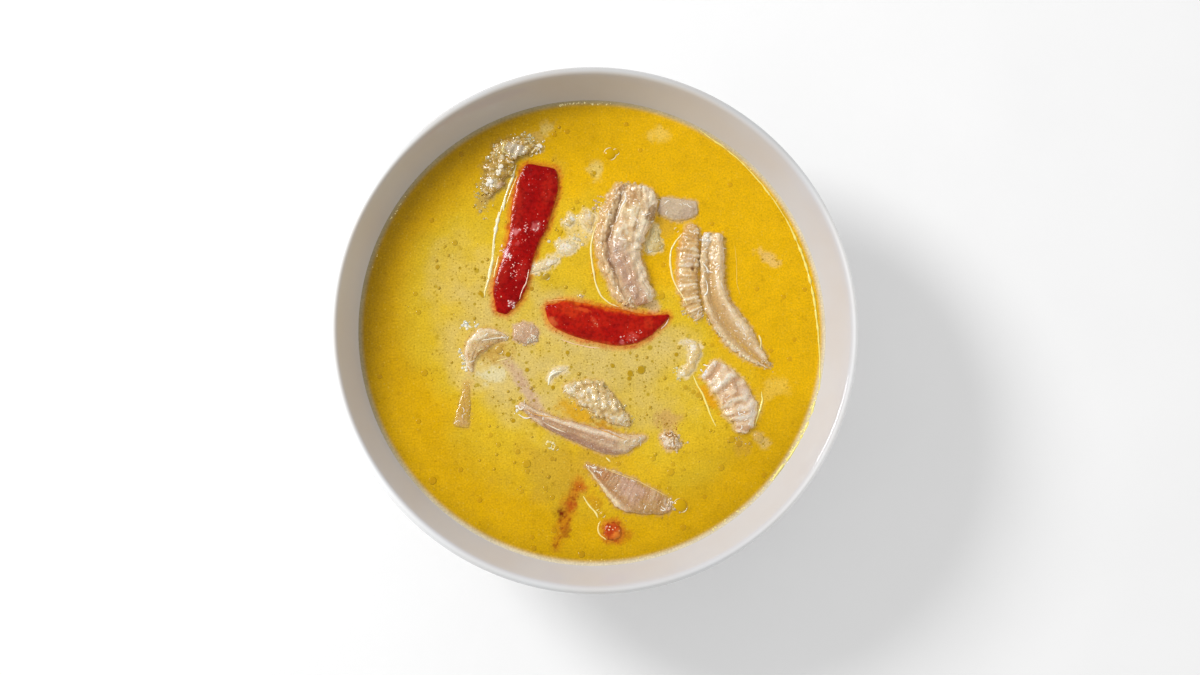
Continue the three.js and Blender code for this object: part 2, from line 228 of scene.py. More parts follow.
@dataclass
class Surface:
    """A mesh in the making, in millimetres.

    Attributes:
        points: one row a point.
        faces: arrays of point numbers, of triangles and of quads.
        paint: linear colour of each point.
    """

    points: np.ndarray
    faces: list[np.ndarray]
    paint: np.ndarray

    def volume(self) -> float:
        """Six times the signed volume: the sum of each triangle's triple product."""
        total = 0.0
        for block in self.faces:
            for step in range(1, block.shape[1] - 1):
                a, b, c = (self.points[block[:, i]] for i in (0, step, step + 1))
                total += float(np.einsum("ij,ij->", a, np.cross(b, c)))
        return total

    def outward(self) -> "Surface":
        """The same closed mesh with its faces pointing out."""
        if self.volume() < 0:
            self.faces = [block[:, ::-1] for block in self.faces]
        return self

    def piece(self, name: str, finish: bpy.types.Material, slot: str, *nodes: str) -> bpy.types.Object:
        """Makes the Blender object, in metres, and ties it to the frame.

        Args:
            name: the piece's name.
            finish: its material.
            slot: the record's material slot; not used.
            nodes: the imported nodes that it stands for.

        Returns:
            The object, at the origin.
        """
        mesh = bpy.data.meshes.new(name)
        faces = [face for block in self.faces for face in block.tolist()]
        mesh.from_pydata((self.points * MM).tolist(), [], faces)
        colours = mesh.color_attributes.new("paint", "FLOAT_COLOR", "POINT")
        rgba = np.ones((len(self.points), 4), np.float32)
        rgba[:, :3] = np.clip(self.paint, 0, 1)
        colours.data.foreach_set("color", rgba.ravel())
        mesh.shade_smooth()
        mesh.materials.append(finish)
        made = bpy.data.objects.new(name, mesh)
        bpy.context.scene.collection.objects.link(made)
        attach(made, BODY)
        if nodes:
            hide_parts(*nodes)
        log.info("%-18s %7d points %7d faces", name, len(self.points), len(faces))
        return made


def joined(parts: list[Surface]) -> Surface:
    """Several surfaces as one mesh, their point numbers moved on."""
    starts = np.cumsum([0] + [len(part.points) for part in parts])
    faces = [block + start for part, start in zip(parts, starts) for block in part.faces]
    widths = sorted({block.shape[1] for block in faces})
    return Surface(
        np.vstack([part.points for part in parts]),
        [np.vstack([block for block in faces if block.shape[1] == width]) for width in widths],
        np.vstack([part.paint for part in parts]),
    )


class Recipe:
    """The nodes of one finish, with a Principled shader as its surface."""

    def __init__(self, name: str, **sockets: float) -> None:
        """Starts a material. Words in the sockets' names are joined by underscores."""
        self.material = bpy.data.materials.new(name)
        self.material.use_nodes = True
        self.tree = self.material.node_tree
        self.surface = self.tree.nodes["Principled BSDF"]
        for socket, value in sockets.items():
            self.surface.inputs[socket.replace("_", " ")].default_value = value
        self.place = self.node("ShaderNodeTexCoord").outputs["Object"]
        self.paint = self.node("ShaderNodeAttribute", attribute_name="paint").outputs["Color"]

    def node(self, kind: str, inputs: dict | None = None, **settings: object) -> bpy.types.Node:
        """Adds a node. Inputs are values, or sockets to link from."""
        made = self.tree.nodes.new(kind)
        for key, value in settings.items():
            setattr(made, key, value)
        for key, value in (inputs or {}).items():
            self.feed(made.inputs[key], value)
        return made

    def feed(self, socket: bpy.types.NodeSocket, value: object) -> None:
        """Links a socket, or sets its value."""
        if isinstance(value, bpy.types.NodeSocket):
            self.tree.links.new(value, socket)
        else:
            socket.default_value = value

    def noise(self, size: float, detail: float) -> bpy.types.NodeSocket:
        """Noise with lumps of about a size in millimetres."""
        inputs = {"Vector": self.place, "Scale": 1 / (size * MM), "Detail": detail}
        return self.node("ShaderNodeTexNoise", inputs).outputs["Fac"]

    def cells(self, size: float) -> bpy.types.Node:
        """Scattered centres seen from above, one to a square of that size."""
        return self.node("ShaderNodeTexVoronoi", {"Vector": self.place, "Scale": 1 / (size * MM)},
                         voronoi_dimensions="2D")

    def dotted(self, colour: object, dots: "Dots", strength: object = 1.0) -> bpy.types.NodeSocket:
        """Lays round dots over a colour: inside each cell's own radius, which its random colour gives."""
        cells = self.cells(dots.spacing)
        chance = self.node("ShaderNodeSeparateColor", {0: cells.outputs["Color"]}).outputs["Red"]
        radius = self.spread(chance, dots.least, 1.0, (0.0, dots.largest))
        depth = self.maths("SUBTRACT", radius, cells.outputs["Distance"])
        mask = self.maths("MULTIPLY", self.spread(depth, 0.0, dots.edge, (0.0, dots.strength)), strength)
        return self.mix(mask, colour, rgba(dots.tint), dots.how)

    def maths(self, operation: str, a: object, b: object = 0.0) -> bpy.types.NodeSocket:
        """One sum of two values."""
        return self.node("ShaderNodeMath", {0: a, 1: b}, operation=operation).outputs[0]

    def spread(self, value: object, low: float, high: float, to: Range) -> bpy.types.NodeSocket:
        """A value's range stretched onto another, and clipped to it."""
        inputs = {"Value": value, "From Min": low, "From Max": high, "To Min": to[0], "To Max": to[1]}
        return self.node("ShaderNodeMapRange", inputs).outputs["Result"]

    def mix(self, share: object, a: object, b: object, how: str = "MIX") -> bpy.types.NodeSocket:
        """Two colours mixed."""
        mixer = self.node("ShaderNodeMix", {0: share}, data_type="RGBA", blend_type=how)
        self.feed(mixer.inputs[6], a)
        self.feed(mixer.inputs[7], b)
        return mixer.outputs[2]

    def times(self, a: object, b: object) -> bpy.types.NodeSocket:
        """Two colours or vectors multiplied."""
        return self.node("ShaderNodeVectorMath", {0: a, 1: b}, operation="MULTIPLY").outputs[0]

    def mottled(self, mottle: "Mottle") -> bpy.types.NodeSocket:
        """Noise, its middle stretched onto a range."""
        return self.spread(self.noise(mottle.size, mottle.detail), *mottle.middle, mottle.to)

    def waved(self, *layers: "Waves") -> bpy.types.NodeSocket:
        """A normal for layers of noise, one over the other, whose rise is in millimetres."""
        inputs = {}
        for waves in layers:
            inputs |= {"Height": self.noise(waves.size, waves.detail), "Distance": waves.rise * MM}
            inputs["Normal"] = self.node("ShaderNodeBump", inputs).outputs["Normal"]
        return inputs["Normal"]

    def finish(self, colour: object, roughness: object, normal: object) -> bpy.types.Material:
        """Links the three maps to the shader and gives the material back."""
        self.feed(self.surface.inputs["Base Color"], colour)
        self.feed(self.surface.inputs["Roughness"], roughness)
        self.feed(self.surface.inputs["Normal"], normal)
        return self.material


def rgba(tint: Tint) -> tuple[float, float, float, float]:
    """A colour for a shader's socket."""
    return (*linear(tint).tolist(), 1.0)


@dataclass(frozen=True)
class Dots:
    """Round dots of a finish.

    Attributes:
        spacing: one to a square of that size.
        least: how many of the squares stay empty.
        largest: the largest radius, as a share of the spacing.
        strength: how much they cover.
        tint: their colour.
        how: MIX to paint them, or MULTIPLY to tint what is under them.
        edge: how soft their edge is, as a share of the spacing.
    """

    spacing: float
    least: float
    largest: float
    strength: float
    tint: Tint
    how: str = "MULTIPLY"
    edge: float = 0.07


@dataclass(frozen=True)
class Mottle:
    """Noise as a value: its lumps' size, its detail, the range that it gives, and its clipped middle."""

    size: float
    detail: float
    to: Range
    middle: Range = (0.3, 0.7)


@dataclass(frozen=True)
class Waves:
    """Noise as relief in the gloss: its lumps' size, its detail, and how high it stands."""

    size: float
    detail: float
    rise: float


@dataclass(frozen=True)
class Glaze:
    """White gloss glaze: faint clouds of warmth, soft waves in the gloss, a bare biscuit foot."""

    white: Tint = (253, 254, 255)
    warm: Tint = (251, 248, 245)
    biscuit: Tint = (205, 194, 178)
    biscuit_roughness: float = 0.7
    foot_height: float = 0.9
    foot_fade: float = 0.5
    clouds: Mottle = Mottle(26.0, 3.0, (0, 1), (0.4, 0.7))
    gloss: Mottle = Mottle(9.0, 2.0, (0.07, 0.13))
    waves: Waves = Waves(5.0, 1.0, 0.02)

    def material(self) -> bpy.types.Material:
        """Makes the material."""
        make = Recipe("porcelain_glaze", Specular_IOR_Level=0.5)
        height = make.node("ShaderNodeSeparateXYZ", {0: make.place}).outputs["Z"]
        foot_end = self.foot_height + self.foot_fade
        bare = make.spread(height, self.foot_height * MM, foot_end * MM, (1, 0))
        white = make.mix(make.mottled(self.clouds), rgba(self.white), rgba(self.warm))
        # The paint attribute brings the bowl's painted light and shade: a painted highlight on the lip,
        # painted shade on the wall.
        glazed = make.mix(1.0, white, make.paint, "MULTIPLY")
        colour = make.mix(bare, glazed, rgba(self.biscuit))
        rough = make.maths("MULTIPLY", bare, self.biscuit_roughness)
        roughness = make.maths("MAXIMUM", make.mottled(self.gloss), rough)
        return make.finish(colour, roughness, make.waved(self.waves))


@dataclass(frozen=True)
class BrothFinish:
    """Wet broth: the painted clouds, a fine grain, thousands of oil drops that tint the cream, and pale dots
    of painted sparkle.

    Attributes:
        grain, clouds: what the painted colour is multiplied by.
        creamy_blue, creamy: the paint's blue from gold to cream, and how much the drops show there.
        clear_edge: the radii between which the drops fade out towards the wall.
        drops: the drops, in several sizes, and last the pale dots of painted sparkle.
        gloss: its roughness.
        waves: its ripples, wide and fine.
    """

    grain: Mottle = Mottle(0.6, 3.0, (0.84, 1.16))
    clouds: Mottle = Mottle(5.5, 4.0, (0.95, 1.05))
    creamy_blue: Range = (0.003, 0.09)
    creamy: Range = (0.3, 1.0)
    clear_edge: Range = (76.0, 77.6)
    drops: tuple[Dots, ...] = (
        Dots(1.05, 0.35, 0.28, 0.85, (206, 196, 142)),
        Dots(2.5, 0.5, 0.26, 0.85, (208, 198, 92)),
        Dots(6.5, 0.45, 0.19, 0.8, (212, 204, 70)),
        # Painted highlights: pale sparkle dots over the broth.
        Dots(1.4, 0.62, 0.26, 0.38, (255, 234, 120), "MIX", 0.12),
    )
    gloss: Mottle = Mottle(3.0, 2.0, (0.12, 0.2))
    waves: tuple[Waves, ...] = (Waves(7.0, 2.0, 0.10), Waves(0.7, 2.0, 0.012))

    def material(self) -> bpy.types.Material:
        """Makes the material."""
        make = Recipe("broth_surface", Specular_IOR_Level=0.3)
        shade = make.maths("MULTIPLY", make.mottled(self.grain), make.mottled(self.clouds))
        colour = make.times(make.paint, shade)
        blue = make.node("ShaderNodeSeparateColor", {0: make.paint}).outputs["Blue"]
        flat = make.times(make.place, (1, 1, 0))
        radius = make.node("ShaderNodeVectorMath", {0: flat}, operation="LENGTH").outputs["Value"]
        inner, outer = self.clear_edge
        clear = make.spread(radius, inner * MM, outer * MM, (1, 0))
        creamy = make.maths("MULTIPLY", make.spread(blue, *self.creamy_blue, self.creamy), clear)
        for drops in self.drops:
            colour = make.dotted(colour, drops, creamy)
        return make.finish(colour, make.mottled(self.gloss), make.waved(*self.waves))


@dataclass(frozen=True)
class PepperFinish:
    """Wet pepper skin: the painted reds, mottled, with pale pink dots of painted highlight in patches, and
    soft dimples that break up the gloss.
    """

    dark: Tint = (112, 6, 6)
    mottle: Mottle = Mottle(1.2, 4.0, (0.0, 0.42), (0.42, 0.68))
    # Painted highlights: pale pink sparkle dots, laid in patches.
    pale: Dots = Dots(1.3, 0.72, 0.24, 0.5, (236, 140, 130), "MIX", 0.12)
    pale_patches: Mottle = Mottle(6.0, 2.0, (0.0, 1.0), (0.5, 0.62))
    gloss: Mottle = Mottle(0.8, 2.0, (0.12, 0.22))
    waves: tuple[Waves, ...] = (Waves(3.0, 2.0, 0.3), Waves(0.8, 2.0, 0.1))

    def material(self) -> bpy.types.Material:
        """Makes the material."""
        make = Recipe("pepper_skin", Specular_IOR_Level=0.3)
        colour = make.mix(make.mottled(self.mottle), make.paint, rgba(self.dark), "MULTIPLY")
        colour = make.dotted(colour, self.pale, make.mottled(self.pale_patches))
        return make.finish(colour, make.mottled(self.gloss), make.waved(*self.waves))


@dataclass(frozen=True)
class TripeFinish:
    """Wet cooked tripe: the painted flesh with fine grains, tan specks, white dots of painted glint and a
    broken gloss.
    """

    grain: Mottle = Mottle(0.6, 3.0, (0.87, 1.10), (0.32, 0.68))
    pore: Tint = (176, 132, 88)
    pores: Mottle = Mottle(0.9, 2.0, (0.0, 0.2), (0.58, 0.74))
    specks_and_glints: tuple[Dots, ...] = (
        Dots(1.5, 0.6, 0.22, 0.45, (224, 170, 110), "MULTIPLY", 0.12),
        # Painted highlights: the white glint dots.
        Dots(0.8, 0.6, 0.30, 0.55, (252, 244, 230), "MIX", 0.12),
    )
    gloss: Mottle = Mottle(0.7, 2.0, (0.08, 0.22))
    waves: tuple[Waves, ...] = (Waves(1.4, 2.0, 0.2), Waves(0.7, 2.0, 0.13))
    scatter_reach: tuple[float, float, float] = (1.0, 0.75, 0.5)

    def material(self) -> bpy.types.Material:
        """Makes the material."""
        make = Recipe("tripe_flesh", Specular_IOR_Level=0.95, Subsurface_Weight=0.4, Subsurface_Scale=MM)
        make.surface.inputs["Subsurface Radius"].default_value = self.scatter_reach
        grained = make.times(make.paint, make.mottled(self.grain))
        colour = make.mix(make.mottled(self.pores), grained, rgba(self.pore), "MULTIPLY")
        for dots in self.specks_and_glints:
            colour = make.dotted(colour, dots)
        return make.finish(colour, make.mottled(self.gloss), make.waved(*self.waves))


@dataclass(frozen=True)
class WetFinish:
    """Something small and clear on the broth, such as oil, froth or a raised film of soup."""

    name: str
    roughness: float
    speckle: float
    waves: Waves = Waves(0.8, 1.0, 0.01)

    def material(self) -> bpy.types.Material:
        """Makes the material."""
        make = Recipe(self.name, Specular_IOR_Level=0.5)
        speckled = Mottle(0.6, 2.0, (1 - self.speckle, 1 + self.speckle))
        gloss = Mottle(1.5, 2.0, (self.roughness, self.roughness * 1.6))
        colour = make.times(make.paint, make.mottled(speckled))
        return make.finish(colour, make.mottled(gloss), make.waved(self.waves))


@dataclass(frozen=True)
class Side:
    """One side of the bowl from above: its direction, and the cosines off it where it starts and is full."""

    degrees: float
    start: float
    full: float

    def share(self, angle: np.ndarray) -> np.ndarray:
        """1 on that side and 0 away from it."""
        return smooth(self.start, self.full, np.cos(angle - math.radians(self.degrees)))


@dataclass(frozen=True)
class Fade:
    """A soft step between two values, times a strength."""

    start: float
    full: float
    strength: float = 1.0

    def at(self, value: np.ndarray) -> np.ndarray:
        """0 at the start, and the strength from full on."""
        return smooth(self.start, self.full, value) * self.strength


@dataclass(frozen=True)
class Wander:
    """Noise that something wanders by: its lumps' size, how far it goes, its seed and its octaves."""

    size: float
    reach: float
    seed: int
    octaves: int = 3

    def at(self, places: np.ndarray, own: int = 0) -> np.ndarray:
        """How far it goes at each place, for a piece with its own seed."""
        return self.reach * layered(places / self.size, self.seed + own, self.octaves)


@dataclass
class Bowl:
    """The glazed bowl, turned about the Z axis. Its wall thins from the floor to a rolled lip."""

    rim_radius: float = 88.0
    height: float = 57.0
    lip_thickness: float = 3.0
    base_thickness: float = 5.0
    floor_height: float = 7.0
    floor_reach: float = 58.0
    wall_reach: float = 36.0
    wall_lean: float = math.radians(31)
    foot_radius: float = 41.0
    foot_width: float = 4.5
    foot_taper: float = 0.8
    sides: int = 288

    # Painted light and shade on the glaze: painted shade on the wall, a painted highlight on the lit lip,
    # painted shade on the lip at the back and the front, and a warmer shaded side as a painted reflection of
    # the soup.
    painted_dim: float = 0.87  # painted shade: brightness of what isn't the lit lip
    lit_tone: Tint = (228, 225, 226)
    shaded_tone: Tint = (229, 220, 208)
    wall_inset: Range = (1.1, 2.5)  # how far in from the rim the wall's tone starts and is full
    glow_inset: Range = (2.6, 1.4)
    lip_drop: Range = (4.0, 1.0)  # how far under the rim the lip's tone starts and is full
    back: Side = Side(85, 0.3, 0.9)
    back_dip: float = 0.24
    front: Side = Side(270, 0.5, 1.0)
    front_dip: float = 0.10
    shaded: Side = Side(125, -0.1, 0.8)
    darkest: Side = Side(115, 0.6, 1.0)
    darkest_dip: float = 0.15

    def __post_init__(self) -> None:
        """Works out the lip and the four handles of the inner curve."""
        self.wall_up = np.array([math.sin(self.wall_lean), math.cos(self.wall_lean)])
        self.wall_out = np.array([self.wall_up[1], -self.wall_up[0]])
        self.lip_middle = np.array([self.rim_radius, self.height]) - self.lip_thickness / 2
        lip_inner = self.lip_middle - self.wall_out * self.lip_thickness / 2
        self.handles = np.array([[0, self.floor_height], [self.floor_reach, self.floor_height],
                                 lip_inner - self.wall_up * self.wall_reach, lip_inner])

    def wall(self, share: np.ndarray, distance: np.ndarray | float) -> np.ndarray:
        """Radius and height of the wall: a cubic curve through its handles, moved out by a distance.

        Args:
            share: where on the inner curve, from 0 at the middle of the floor to 1 at the lip.
            distance: how far outwards along the curve's normal.

        Returns:
            One row of radius and height for each share.
        """
        t = share[:, None]
        a, b, c, d = self.handles
        curve = (1 - t) ** 3 * a + 3 * (1 - t) ** 2 * t * b + 3 * (1 - t) * t**2 * c + t**3 * d
        slope = (1 - t) ** 2 * (b - a) + 2 * (1 - t) * t * (c - b) + t**2 * (d - c)
        slope /= np.linalg.norm(slope, axis=1)[:, None]
        out = np.stack([slope[:, 1], -slope[:, 0]], axis=1)
        return curve + out * np.reshape(distance, (-1, 1))

    def share_at_height(self, height: float, distance: float) -> float:
        """The share of the inner curve where the wall, moved out by a distance, reaches a height."""
        shares = np.linspace(0, 1, 2001)
        return float(np.interp(height, self.wall(shares, distance)[:, 1], shares))

    def profile(self) -> np.ndarray:
        """Radius and height all the way round the section, from the underside to the floor inside."""
        shares = np.linspace(0, 1, 73)
        outer = self.wall(shares, self.base_thickness + (self.lip_thickness - self.base_thickness) * shares)
        foot_inner = self.foot_radius - self.foot_width
        under = outer[outer[:, 0] < foot_inner - 0.6]
        side = outer[outer[:, 0] > self.foot_radius + 0.9]
        turn = np.linspace(0, np.pi, 15)[1:-1]
        lip = self.lip_middle + (np.cos(turn)[:, None] * self.wall_out
                                 + np.sin(turn)[:, None] * self.wall_up) * self.lip_thickness / 2
        underside_height = float(np.interp(foot_inner, outer[:, 0], outer[:, 1]))
        side_height = float(np.interp(self.foot_radius, outer[:, 0], outer[:, 1]))
        taper = self.foot_taper
        foot = np.array([
            [foot_inner - 0.3, underside_height - 0.05], [foot_inner + 0.05, underside_height - 0.5],
            [foot_inner + taper * 0.6, taper * 1.2], [foot_inner + taper * 0.8, taper * 0.35],
            [foot_inner + taper * 1.3, 0.0], [self.foot_radius - taper * 1.3, 0.0],
            [self.foot_radius - taper * 0.7, taper * 0.35], [self.foot_radius - taper * 0.45, taper * 1.2],
            [self.foot_radius - 0.05, side_height - 0.6], [self.foot_radius + 0.3, side_height + 0.02],
        ])
        inside = self.wall(shares[::-1], 0.0)
        line = np.vstack([under, foot, side, lip, inside])
        line[0, 0] = line[-1, 0] = 0.0
        self.lip_row = len(under) + len(foot) + len(side)
        return line

    def paint_light_and_shade(self, points: np.ndarray, inner: np.ndarray) -> np.ndarray:
        """Paints light and shade onto the glaze: painted shade on the wall, deeper and warmer on its shaded
        side where the warmth is a painted reflection of the soup, a painted highlight on the outer lip, and
        painted shade on the lip at the back and the front.

        Args:
            points: places on the bowl.
            inner: which of them lie on the lip or inside it.

        Returns:
            What the glaze's white is multiplied by, at each point.
        """
        x, y, z = points.T
        angle, inset = np.arctan2(y, x), self.rim_radius - np.hypot(x, y)
        back, front = self.back.share(angle), self.front.share(angle)
        lip = smooth(*self.lip_drop, self.height - z)
        glow = lip * smooth(*self.glow_inset, inset) * (1 - back) * (1 - front)
        plain = self.painted_dim + (1 - self.painted_dim) * glow - lip * (self.back_dip * back + self.front_dip * front)
        tone = self.painted_dim * blend(linear(self.lit_tone), linear(self.shaded_tone), self.shaded.share(angle))
        tone = tone * (1 - self.darkest_dip * self.darkest.share(angle))[:, None]
        return blend(np.repeat(plain[:, None], 3, axis=1), tone, smooth(*self.wall_inset, inset) * inner)

    def build(self) -> bpy.types.Object:
        """Turns the profile about the Z axis, with one point at each end of it."""
        line = self.profile()
        angle = np.arange(self.sides) * 2 * np.pi / self.sides
        ring = np.stack([np.cos(angle), np.sin(angle)], axis=1)
        body = line[1:-1]
        flat = (body[:, None, 0, None] * ring).reshape(-1, 2)
        points = np.column_stack([flat, np.repeat(body[:, 1], self.sides)])
        ends = [[0, 0, line[0, 1]], [0, 0, line[-1, 1]]]
        points = np.vstack([points, ends])
        inner = np.append(np.repeat(np.arange(1, len(line) - 1) >= self.lip_row, self.sides), [False, True])
        surface = Surface(points, tube_faces(len(body), self.sides), self.paint_light_and_shade(points, inner)).outward()
        return surface.piece("bowl_glazed", Glaze().material(), "porcelain", "bowl")


@dataclass(frozen=True)
class Feature:
    """A ridge, or where its height is below 0 a groove, along the top of a floating piece."""

    at: float
    width: float
    height: float

    def lift(self, across: np.ndarray) -> np.ndarray:
        """Its height there: a bell round its place across the piece."""
        return self.height * np.exp(-(((across - self.at) / self.width) ** 2))


class Relief(Enum):
    """Kinds of fine relief on a floating piece."""

    BEADS = "round lumps packed side by side"
    FOLDS = "soft folds with narrow valleys between them"
    GRAIN = "uneven lumps of several sizes"
    PITS = "small round pits"
    RIBS = "fine ribs across the piece"


@dataclass(frozen=True)
class Layer:
    """One layer of fine relief.

    Attributes:
        kind: its pattern.
        size: spacing along the piece and across it.
        height: how far it moves the surface.
        across: the stretch of the section that it covers, from -1 to 1.
        share: the stretch of the length that it covers, from 0 to 1.
    """

    kind: Relief
    size: tuple[float, float]
    height: float
    across: Range = (-2.0, 2.0)
    share: Range = (-1.0, 2.0)

    def pattern(self, own: np.ndarray, seed: int) -> np.ndarray:
        """Values from about -1 in a valley to 1 on a crest, at places along, across and up the piece."""
        at = own / np.array([self.size[0], self.size[1], self.size[1]])
        if self.kind is Relief.BEADS:
            distance, owner = nearest_centre(at, seed)
            return 1.0 - 2.2 * distance**1.5 + 0.4 * (owner - 0.5)
        if self.kind is Relief.FOLDS:
            bend = at + 0.35 * noise(own / 4.0, seed + 5)[..., None]
            return 2.2 * np.abs(noise(bend, seed)) ** 0.6 - 1.0
        if self.kind is Relief.PITS:
            distance, owner = nearest_centre(at, seed)
            return -smooth(0.34, 0.12, distance) * (owner > 0.4)
        if self.kind is Relief.RIBS:
            wave = np.cos(2 * np.pi * (at[..., 0] + 0.3 * noise(own / 2.5, seed)))
            return wave * (0.75 + 0.4 * noise(at, seed + 1))
        return layered(at, seed)

    def cover(self, across: np.ndarray, share: np.ndarray) -> np.ndarray:
        """1 inside the layer's stretches, fading to 0 at their ends."""
        return window(across, self.across, 0.1) * window(share, self.share, 0.04)


@dataclass(frozen=True)
class Streak:
    """A band of colour along a floating piece, at a place across it."""

    at: float
    width: float
    tint: Tint
    strength: float
    share: Range = (-1.0, 2.0)

    def mask(self, across: np.ndarray, share: np.ndarray) -> np.ndarray:
        """A bell across the band, which fades at both ends of its stretch."""
        bell = np.exp(-(((across - self.at) / self.width) ** 2))
        return self.strength * window(share, self.share, 0.06) * bell


@dataclass(frozen=True)
class Dab:
    """A soft spot of colour, seen from above."""

    place: Place
    reach: float
    tint: Tint
    strength: float
    stretch: float = 1.0
    turn: float = 0.0

    def mask(self, x: np.ndarray, y: np.ndarray, rough: float, seed: int, core: float = 0.45) -> np.ndarray:
        """Its strength at each place: full in its core and gone at its reach, with a rough edge."""
        dx, dy = x - self.place[0], y - self.place[1]
        cosine, sine = math.cos(math.radians(self.turn)), math.sin(math.radians(self.turn))
        along, aside = dx * cosine + dy * sine, dy * cosine - dx * sine
        distance = np.hypot(along / self.stretch, aside) / self.reach
        places = level_places(x, y) / max(0.8, self.reach * 0.45)
        return self.strength * smooth(1.0, core, distance + rough * layered(places, seed))


@dataclass(frozen=True)
class Flesh:
    """How a floating piece is painted.

    Attributes:
        body: its main colour.
        patch: the colour that it wanders to.
        hollow: the colour in its valleys, partly painted shade, partly the soup and oil caught there.
        crest: the colour on its bumps, a painted highlight.
        shore: the colour where it meets the soup, if not the soup's own.
        shore_width: how high above the soup that colour reaches.
        streaks: bands along it.
        dabs: spots on it.
    """

    body: Tint
    patch: Tint
    hollow: Tint
    crest: Tint
    shore: Tint | None = None
    shore_width: float = 0.35
    streaks: tuple[Streak, ...] = ()
    dabs: tuple[Dab, ...] = ()


